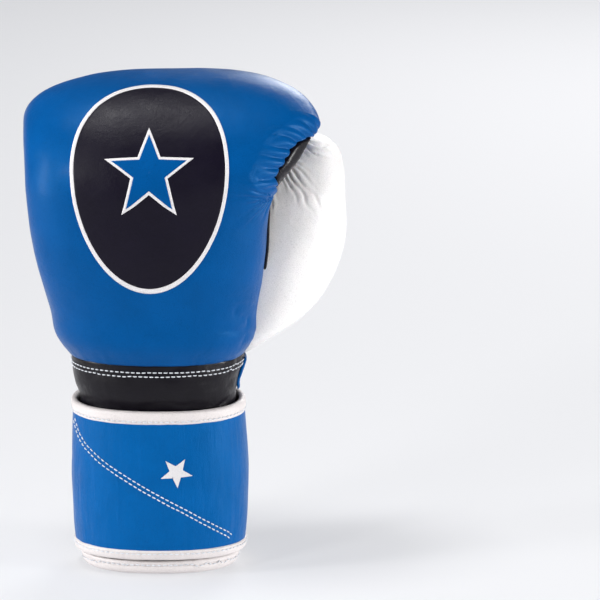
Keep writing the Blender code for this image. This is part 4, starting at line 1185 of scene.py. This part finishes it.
def open_edge(name, start, end, top, radius, outer, inner, width, body, nodes):
    """Binding round the three free sides of a flap, with its stitches."""
    path = rounded(((start, top(start)), (end, top(end)), (end, STRAP_BOTTOM),
                    (start, STRAP_BOTTOM)), radius)
    middle = path.mean(axis=0)
    side = side_vectors(path)
    sign = 1.0 if np.sum((middle - path) * side) > 0 else -1.0
    profile = fold_profile(width, outer + 0.9, inner)
    made = bind(name, cuff, path, profile, side=sign, wave=0.2, body=body, nodes=nodes)
    line = cuff(*(path + side * sign * (width - BINDING_SEAM)).T, outer + 2.0)
    stitch_on(name + "_stitches", tree_of(made), line[1:-1], body=body)


def make_tab():
    start, end = run_at(TAB_HINGE), run_at(TAB_END)

    def cut(run):
        return corner_cut(run - end + 3.0, 8.0)

    band("tab_leather", TAB_HINGE, angle_of(end - 4.0), lambda run: LEATHER_FOOT(run) + cut(run),
         lambda run: tab_top(run) - STRAP_CLEAR - cut(run),
         lambda flat: 0.15 * rough(flat, 12.0, 63.0), TAB_OUT, 1.6, sides=(), body="inner_tab",
         nodes=("inner_tab",))
    open_edge("tab_edge", start, end, tab_top, 9.0, TAB_OUT - 0.1, 0.5, 6.5, "inner_tab",
              ("inner_tab_binding",))


# ---------------------------------------------------------------- the palm

def pinky_edge(z):
    return tube_point(z, np.full(np.shape(z), PINKY_SEAM + 1.0))[..., 0]


def trim_edge(z):
    return trim_table(z)[0]


def placket_half(z):
    return mix(PLACKET_HALF_FOOT, PLACKET_HALF_TOP, smooth_step(80.0, 190.0, z))


def slit_half(z):
    return mix(SLIT_HALF_FOOT, SLIT_HALF_TOP, smooth_step(70.0, SLIT_TOP - SLIT_HALF_TOP, z))


def palm_seam(x):
    """Height of the seam between the lower palm leather and the mesh."""
    return PALM_SEAM + 0.33 * np.maximum(0.0, np.abs(x - SLIT_X) - PLACKET_HALF_TOP)


# How many points each side and the top of a keyhole outline have.
KEYHOLE_COUNT = 60


def keyhole(half_at, half_top, arch_z, rise, foot, roundness=1.0):
    """Outline from its foot on the pinky side, up and over the top, to the thumb side foot."""
    heights = steps(foot, arch_z, KEYHOLE_COUNT)
    turns = np.radians(steps(4.0, 176.0, KEYHOLE_COUNT))
    halves = half_at(heights)
    pinky = np.stack([SLIT_X - halves, heights], -1)
    arch = np.stack([SLIT_X - half_top * np.cos(turns),
                     arch_z + rise * np.sin(turns) ** roundness], -1)
    thumb = np.stack([SLIT_X + halves, heights], -1)[::-1]
    return np.concatenate([pinky, arch, thumb])


def slit_outline(widen):
    top = SLIT_HALF_TOP + widen
    return keyhole(lambda z: slit_half(z) + widen, top, SLIT_TOP - SLIT_HALF_TOP, top,
                   LEATHER_START)


def placket_outline(widen=0.0, foot=LEATHER_START):
    return keyhole(lambda z: placket_half(z) + widen, PLACKET_HALF_TOP + widen,
                   PLACKET_TOP - 10.0, 10.0 + widen, foot, 0.6)


def palm_grid(x, z):
    """Tube places and angles of palm points."""
    x, z = np.broadcast_arrays(x, z)
    return z, angle_at(x, z)


def palm_strip(name, first, second, across, height, **how):
    """Leather on the palm between two outlines with the same number of points."""
    shares = across[None, :]
    x = mix(first[:, :1], second[:, :1], shares)
    z = mix(first[:, 1:], second[:, 1:], shares)
    u, v = palm_grid(x, z)
    return panel(name, "blue_leather", tube_point, u, v, height(tube_point(u, v)), **how)


def make_placket():
    inner, outer = slit_outline(5.2), placket_outline()
    made = palm_strip("palm_placket", inner, outer, spread(0.0, 1.0, 16.0, 1.1),
                      lambda p: 0.5 + 0.35 * rough(p, 14.0, 71.0) - 0.3 * creases(p, 12.0, 72.0),
                      sides=("left", "right"), nodes=("placket",))
    stitch_rows("placket_stitches", tree_of(made),
                [palm(*resample(placket_outline(-inset, 12.0), 1.0).T, 2.5)
                 for inset in (2.6, 5.2)])
    path = resample(slit_outline(0.0), 1.2)
    left = side_vectors(path)
    made = bind("slit_edge", palm, path, fold_profile(6.2, 1.5, -2.4, 0.5, 1.6), wave=0.7,
                nodes=("slit_binding",))
    line = path + left * 4.6
    stitch_on("slit_stitches", tree_of(made), palm(*line.T, 3.5)[3:-3])
    heights = spread(6.0, 177.0, 170.0, 2.0)[:, None]
    half = np.where(heights > 168.0, SLIT_HALF_TOP - (heights - 168.0) * 0.7, slit_half(heights))
    x = SLIT_X + (half + 3.0) * steps(-1.0, 1.0, 22)[None, :]
    u, v = palm_grid(x, np.maximum(heights + 0 * x, 6.0))
    points = tube_point(u, v)
    panel("slit_gusset_cloth", "lining_cloth", tube_point, u, v,
          -1.2 * creases(points * (1.0, 1.0, 0.4), 7.0, 73.0), thick=1.0, level=-3.0, roll=0.3,
          nodes=("slit_gusset",))


def palm_wear(points):
    """Soft glossy leather that has slumped into folds."""
    big = creases(points * (0.7, 0.7, 1.3), 16.0, 74.0)
    small = creases(points, 6.5, 75.0)
    return 0.9 * rough(points, 13.0, 76.0) - 0.9 * big - 0.35 * small


def make_lower_palm():
    foot, top = LEATHER_START, palm_seam(SLIT_X)
    rows = spread(foot, top, top - foot, 1.6)
    columns = spread(0.0, 1.0, 36.0, 1.4)[None, :]
    share = ((rows - foot) / (top - foot))[:, None]
    x = mix(pinky_edge(rows)[:, None], SLIT_X - placket_half(rows)[:, None] - 0.3, columns)
    z = mix(foot, palm_seam(x), share)
    x = mix(pinky_edge(z), SLIT_X - placket_half(z) - 0.3, columns)
    u, v = palm_grid(x, z)
    low = smooth_step(106.0, 116.0, z)
    pinky = panel("palm_leather_pinky", "black_leather", tube_point, u, v,
                  0.7 * low * palm_wear(tube_point(u, v)), nodes=("lower_palm_pinky",))
    z = rows[:, None] + 3.0 * columns * share
    side = tube_point(np.minimum(z, 118.0), WRIST_SEAM - 0.6)[..., 0]
    outer = np.where(z > 118.0, np.minimum(side, trim_edge(z) + 1.0), side)
    x = mix(SLIT_X + placket_half(z) + 0.3, outer, columns)
    u, v = palm_grid(x, z)
    low = smooth_step(106.0, 116.0, z)
    thumb = panel("palm_leather_thumb", "black_leather", tube_point, u, v,
                  1.3 * low * palm_wear(tube_point(u, v)), nodes=("lower_palm_thumb",))
    for name, made, ends in (("pinky", pinky, (-63.0, SLIT_X - 22.5)),
                             ("thumb", thumb, (SLIT_X + 22.5, 24.5))):
        xs = steps(*ends, 60)
        rise = (palm_seam(xs) if name == "pinky"
                else PALM_SEAM + 3.0 * steps(0.0, 1.0, 60))
        stitch_rows(f"palm_seam_{name}", tree_of(made),
                    [palm(xs, rise - below, 2.5) for below in (2.0, 4.6)])


# The air mesh: distance between holes, their radius, and the depths of its two faces.
MESH_PITCH, MESH_HOLE = 4.1, 1.45
MESH_FRONT, MESH_BACK = -0.35, -1.15
# It lies between these heights and starts at this x.
MESH_FOOT, MESH_TOP, MESH_START_X, MESH_COLUMNS = 152.0, 240.0, -88.0, 40


def in_mesh(x, z):
    """Whether a palm point lies where the air mesh shows, or just under its neighbours."""
    low = palm_seam(x) - 3.4 if x < SLIT_X else PALM_SEAM - 3.0
    if z < low or z > MESH_TOP - 0.5 or x < pinky_edge(np.array(z)) - 2.2:
        return False
    if x > trim_edge(min(z, TRIM_TOP)) + 1.5 + 0.7 * max(0.0, z - TRIM_TOP):
        return False
    return z > PLACKET_TOP - 2.5 or abs(x - SLIT_X) > placket_half(z) - 2.2


def make_mesh():
    """Air mesh: a sheet of hexagonal cells, each with a round hole."""
    data, corners = bmesh.new(), {}

    def corner(x, z):
        key = (round(x * 50), round(z * 50))
        if key not in corners:
            corners[key] = data.verts.new((x, 0.0, z))
        return corners[key]

    step_x, step_z = MESH_PITCH, MESH_PITCH * math.sqrt(3.0) / 2.0
    radius = MESH_PITCH / math.sqrt(3.0)
    for row in range(int((MESH_TOP + 2.0 - MESH_FOOT) / step_z)):
        z = MESH_FOOT + row * step_z
        for column in range(MESH_COLUMNS):
            x = MESH_START_X + (column + 0.5 * (row % 2)) * step_x
            if not in_mesh(x, z):
                continue
            turns = [math.radians(60.0 * k + 30.0) for k in range(6)]
            outside = [corner(x + radius * math.cos(t), z + radius * math.sin(t)) for t in turns]
            inside = [data.verts.new((x + MESH_HOLE * math.cos(t), 0.0,
                                      z + MESH_HOLE * 1.15 * math.sin(t))) for t in turns]
            for k in range(6):
                after = (k + 1) % 6
                data.faces.new((outside[k], outside[after], inside[after], inside[k]))
    bmesh.ops.subdivide_edges(data, edges=data.edges, cuts=1, use_grid_fill=True)
    mesh = bpy.data.meshes.new("mesh_flat")
    data.to_mesh(mesh)
    data.free()
    made = bpy.data.objects.new("mesh_flat", mesh)
    bpy.context.scene.collection.objects.link(made)
    smooth = made.modifiers.new("smooth", "SUBSURF")
    smooth.levels = smooth.render_levels = 1
    flat = bpy.data.meshes.new_from_object(
        made.evaluated_get(bpy.context.evaluated_depsgraph_get()))
    bpy.data.objects.remove(made)
    places = np.array([vertex.co for vertex in flat.vertices])
    faces = [list(face.vertices) for face in flat.polygons]
    rims = {}
    for face in faces:
        for a, b in zip(face, face[1:] + face[:1]):
            rims[(a, b)] = rims.get((a, b), 0) + 1
    count = len(places)
    front = palm(places[:, 0], places[:, 2], MESH_FRONT)
    back = palm(places[:, 0], places[:, 2], MESH_BACK)
    sides = [[b, a, a + count, b + count] for a, b in rims if (b, a) not in rims]
    faces = faces + [[number + count for number in face[::-1]] for face in faces] + sides
    made = add_piece("palm_air_mesh", np.concatenate([front, back]), faces, "grey_mesh",
                     nodes=("palm_mesh",))
    outwards(made)
    under = PLACKET_HALF_TOP - 4.0
    for side, foot, start, stop in (
            ("pinky", MESH_FOOT, lambda z: pinky_edge(z) + 0.5, lambda z: SLIT_X - under + 0 * z),
            ("thumb", MESH_FOOT, lambda z: SLIT_X + under + 0 * z,
             lambda z: trim_edge(np.minimum(z, TRIM_TOP)) + 4.0),
            ("middle", 187.0, lambda z: SLIT_X - under + 0 * z, lambda z: SLIT_X + under + 0 * z)):
        heights = spread(foot, MESH_TOP - 1.0, MESH_TOP - 1.0 - foot, 2.5)[:, None]
        x = mix(start(heights), stop(heights), steps(0.0, 1.0, 20)[None, :])
        u, v = palm_grid(x, heights + 0 * x)
        panel(f"palm_mesh_backing_{side}", "mesh_backing", tube_point, u, v, 0.0, thick=1.0,
              level=-1.35, roll=0.0, sides=())


def make_trim():
    heights = steps(131.0, TRIM_TOP, 70)
    edge = trim_edge(heights)
    slope = np.gradient(edge, heights)
    length = np.hypot(slope, 1.0)
    first = np.stack([edge, heights], -1)
    away = np.stack([1.0 / length, -slope / length], -1)
    second = first + away * TRIM_WIDTH
    made = palm_strip("thumb_base_trim", first, second, spread(0.0, 1.0, TRIM_WIDTH, 0.8),
                      lambda p: 0.4 + 0.3 * rough(p, 8.0, 81.0), level=0.5,
                      nodes=("thumb_trim",))
    stitch_rows("trim_stitches", tree_of(made), [palm(*(first + away * inset).T, 3.0)
                                                 for inset in (1.5, 5.2)])


# ---------------------------------------------------------------- the badge

BADGE_PLACE, BADGE_X = 254.0, -5.5
BADGE_HALF, BADGE_RISE = 48.5, 70.0
STAR_OUT, STAR_IN, STAR_DROP = 29.0, 12.0, 4.0
BEND_STRETCH = math.radians(70.0)
PRINT_SUNK = 0.35
STRAP_STAR_X, STRAP_STAR_Z, STRAP_STAR_SIZE, STRAP_STAR_TURN = 8.0, 64.0, 0.34, -32.0


def on_back(across, up, tree, out):
    """Points over the back of the fist, from flat distances across and up from the badge."""
    across, up = np.broadcast_arrays(across, up)
    place = BADGE_PLACE + np.where(up > 0, up / BEND_STRETCH, up)
    x = BADGE_X + across
    low, high = np.zeros(x.shape), np.full(x.shape, 180.0)
    for _ in range(24):
        trial = (low + high) / 2.0
        right = tube_point(place, trial)[..., 0] > x
        low, high = np.where(right, trial, low), np.where(right, high, trial)
    start = lifted(tube_point, place, low, 3.0)
    places, normals = lay(tree, start)
    return (places + normals * out).reshape(start.shape)


def film(name, slot, front, back):
    """Thin closed print from grids of its two faces, whose rows are closed outlines."""
    rows, count = front.shape[:2]
    total = rows * count
    faces = grid_faces(rows, count, 0, round_rows=True)
    faces += grid_faces(rows, count, total, flip=True, round_rows=True)
    for start, turn in ((0, 1), (total - count, -1)):
        rim = [(start + k, start + (k + 1) % count) for k in range(count)]
        faces += [[a, b, b + total, a + total][::turn] for a, b in rim]
    outwards(add_piece(name, np.concatenate([front, back]).reshape(-1, 3), faces, slot))


def print_on(name, slot, tree, inner, outer, out, rows):
    """Thin printed film between two closed outlines on the back of the fist."""
    shares = steps(0.0, 1.0, rows)[:, None, None]
    flat = inner[None] + (outer - inner)[None] * shares
    front = on_back(flat[..., 0], flat[..., 1], tree, out)
    back = on_back(flat[..., 0], flat[..., 1], tree, -PRINT_SUNK)
    film(name, slot, front, back)


def oval(share):
    turns = np.linspace(0.0, 2.0 * math.pi, 180, endpoint=False)
    narrow = 1.0 + 0.10 * np.sin(turns)
    return np.stack([BADGE_HALF * share * np.cos(turns) * narrow,
                     BADGE_RISE * share * np.sin(turns)], -1)


def star(size):
    """Outline of a five-pointed star, with twenty points along each of its edges."""
    turns = np.radians(90.0 + 36.0 * np.arange(11))
    radii = np.where(np.arange(11) % 2 == 0, STAR_OUT, STAR_IN) * size
    tips = np.stack([radii * np.cos(turns), radii * np.sin(turns) + STAR_DROP], -1)
    edges = [mix(tips[k], tips[k + 1], share) for k in range(10)
             for share in np.arange(20)[:, None] / 20]
    return np.array(edges)


def make_badge(fist):
    tree = tree_of(fist)
    print_on("badge_field", "badge_navy", tree, oval(0.02), oval(0.965), 0.22, 34)
    print_on("badge_edge", "badge_white", tree, oval(0.955), oval(1.0), 0.34, 4)
    print_on("badge_star", "badge_white", tree, star(0.05), star(1.0), 0.34, 16)
    print_on("badge_star_field", "blue_leather", tree, star(0.0008), star(0.84), 0.46, 14)


def make_strap_star(strap):
    """Small plain star printed on the back of the strap."""
    turn = math.radians(STRAP_STAR_TURN)
    spin = np.array(((math.cos(turn), math.sin(turn)), (-math.sin(turn), math.cos(turn))))
    outline = star(STRAP_STAR_SIZE) @ spin * (-1.0, 1.0)
    centre = np.array((run_at(back_angle(STRAP_STAR_X)), STRAP_STAR_Z))
    flat = centre + outline * steps(0.05, 1.0, 8)[:, None, None]
    places, normals = lay(tree_of(strap), cuff(flat[..., 0], flat[..., 1], STRAP_OUT + 2.5))
    places, normals = places.reshape(*flat.shape[:2], 3), normals.reshape(*flat.shape[:2], 3)
    film("strap_star", "badge_white", places + normals * 0.3, places - normals * 0.3)


# ---------------------------------------------------------------- frame pieces and the set

CAD_FINISHES = {"thumb_foam": "foam", "comfort_foam": "soft_foam",
                "cuff_foam": "soft_foam", "thumb_lining": "lining_cloth", "grip_bar": "bar_rubber"}


def finish_frame_pieces():
    for node, slot in CAD_FINISHES.items():
        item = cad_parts[node]
        for holder in item.material_slots:
            holder.material = MATERIALS[slot]


# The floor: half its width in metres, its colour, its own glow, and how far it lies below.
FLOOR_HALF, FLOOR_DROP = 8.0, 0.0006
FLOOR_COLOUR, FLOOR_GLOW, GLOW_STRENGTH = (0.32, 0.32, 0.325, 1.0), (0.95, 0.96, 1.0, 1.0), 0.5
SKY_COLOUR, SKY_STRENGTH = (0.93, 0.95, 1.0, 1.0), 0.07
# Lamps, all aimed at one point: name, place, width, height and power.
LAMP_AIM = (0.0, 0.0, 0.16)
LAMPS = (
    ("key", (-1.1, -1.2, 0.95), 0.3, 0.3, 10.0),
    ("left", (-1.35, -0.5, 0.4), 0.3, 0.9, 17.0),
    ("rim_right", (1.2, -0.5, 0.15), 0.22, 0.7, 22.0),
    ("top", (-0.3, -0.1, 1.6), 0.4, 0.4, 14.0),
    ("back", (0.5, 1.6, 0.8), 0.6, 0.6, 12.0),
)
CAMERA_AIM = (0.0714, 0.0, 0.1636)
CAMERA_DISTANCE, CAMERA_RISE, CAMERA_LENS, SENSOR_WIDTH = 6.0, 14.0, 578.0, 36.0


def make_floor():
    floor = bpy.data.meshes.new("floor")
    corners = ((-1.0, -1.0), (1.0, -1.0), (1.0, 1.0), (-1.0, 1.0))
    floor.from_pydata([(x * FLOOR_HALF, y * FLOOR_HALF, 0.0) for x, y in corners], [],
                      [(0, 1, 2, 3)])
    made = bpy.data.objects.new("floor", floor)
    bpy.context.scene.collection.objects.link(made)
    paint, shader, _ = start_material("floor", 0.8)
    shader.inputs["Base Color"].default_value = FLOOR_COLOUR
    shader.inputs["Emission Color"].default_value = FLOOR_GLOW
    shader.inputs["Emission Strength"].default_value = GLOW_STRENGTH
    floor.materials.append(paint)
    made.location.z = CAD_BOX[0][2] - FLOOR_DROP


def add_lamp(name, place, width, height, power):
    data = bpy.data.lights.new(name, "AREA")
    data.shape = "RECTANGLE"
    data.size, data.size_y, data.energy = width, height, power
    made = bpy.data.objects.new(name, data)
    bpy.context.scene.collection.objects.link(made)
    made.location = place
    made.rotation_euler = (Vector(LAMP_AIM) - Vector(place)).to_track_quat("-Z", "Y").to_euler()


def set_stage():
    make_floor()
    world = bpy.data.worlds.new("world")
    world.use_nodes = True
    sky = world.node_tree.nodes["Background"]
    sky.inputs["Color"].default_value = SKY_COLOUR
    sky.inputs["Strength"].default_value = SKY_STRENGTH
    bpy.context.scene.world = world
    for lamp in LAMPS:
        add_lamp(*lamp)
    data = bpy.data.cameras.new("camera")
    data.lens, data.sensor_width = CAMERA_LENS, SENSOR_WIDTH
    data.clip_start, data.clip_end = 0.05, 30.0
    camera = bpy.data.objects.new("camera", data)
    bpy.context.scene.collection.objects.link(camera)
    rise = math.radians(CAMERA_RISE)
    aim = Vector(CAMERA_AIM)
    camera.location = aim + CAMERA_DISTANCE * Vector((0.0, -math.cos(rise), math.sin(rise)))
    camera.rotation_euler = (aim - camera.location).to_track_quat("-Z", "Y").to_euler()
    bpy.context.scene.camera = camera
    bpy.context.scene.view_settings.view_transform = "Standard"


fist = make_fist()
make_thumb()
make_wrist()
make_cuff()
strap = make_strap()
make_hinge()
make_flap()
make_tab()
make_placket()
make_lower_palm()
make_mesh()
make_trim()
make_badge(fist)
make_strap_star(strap)
finish_frame_pieces()
set_stage()
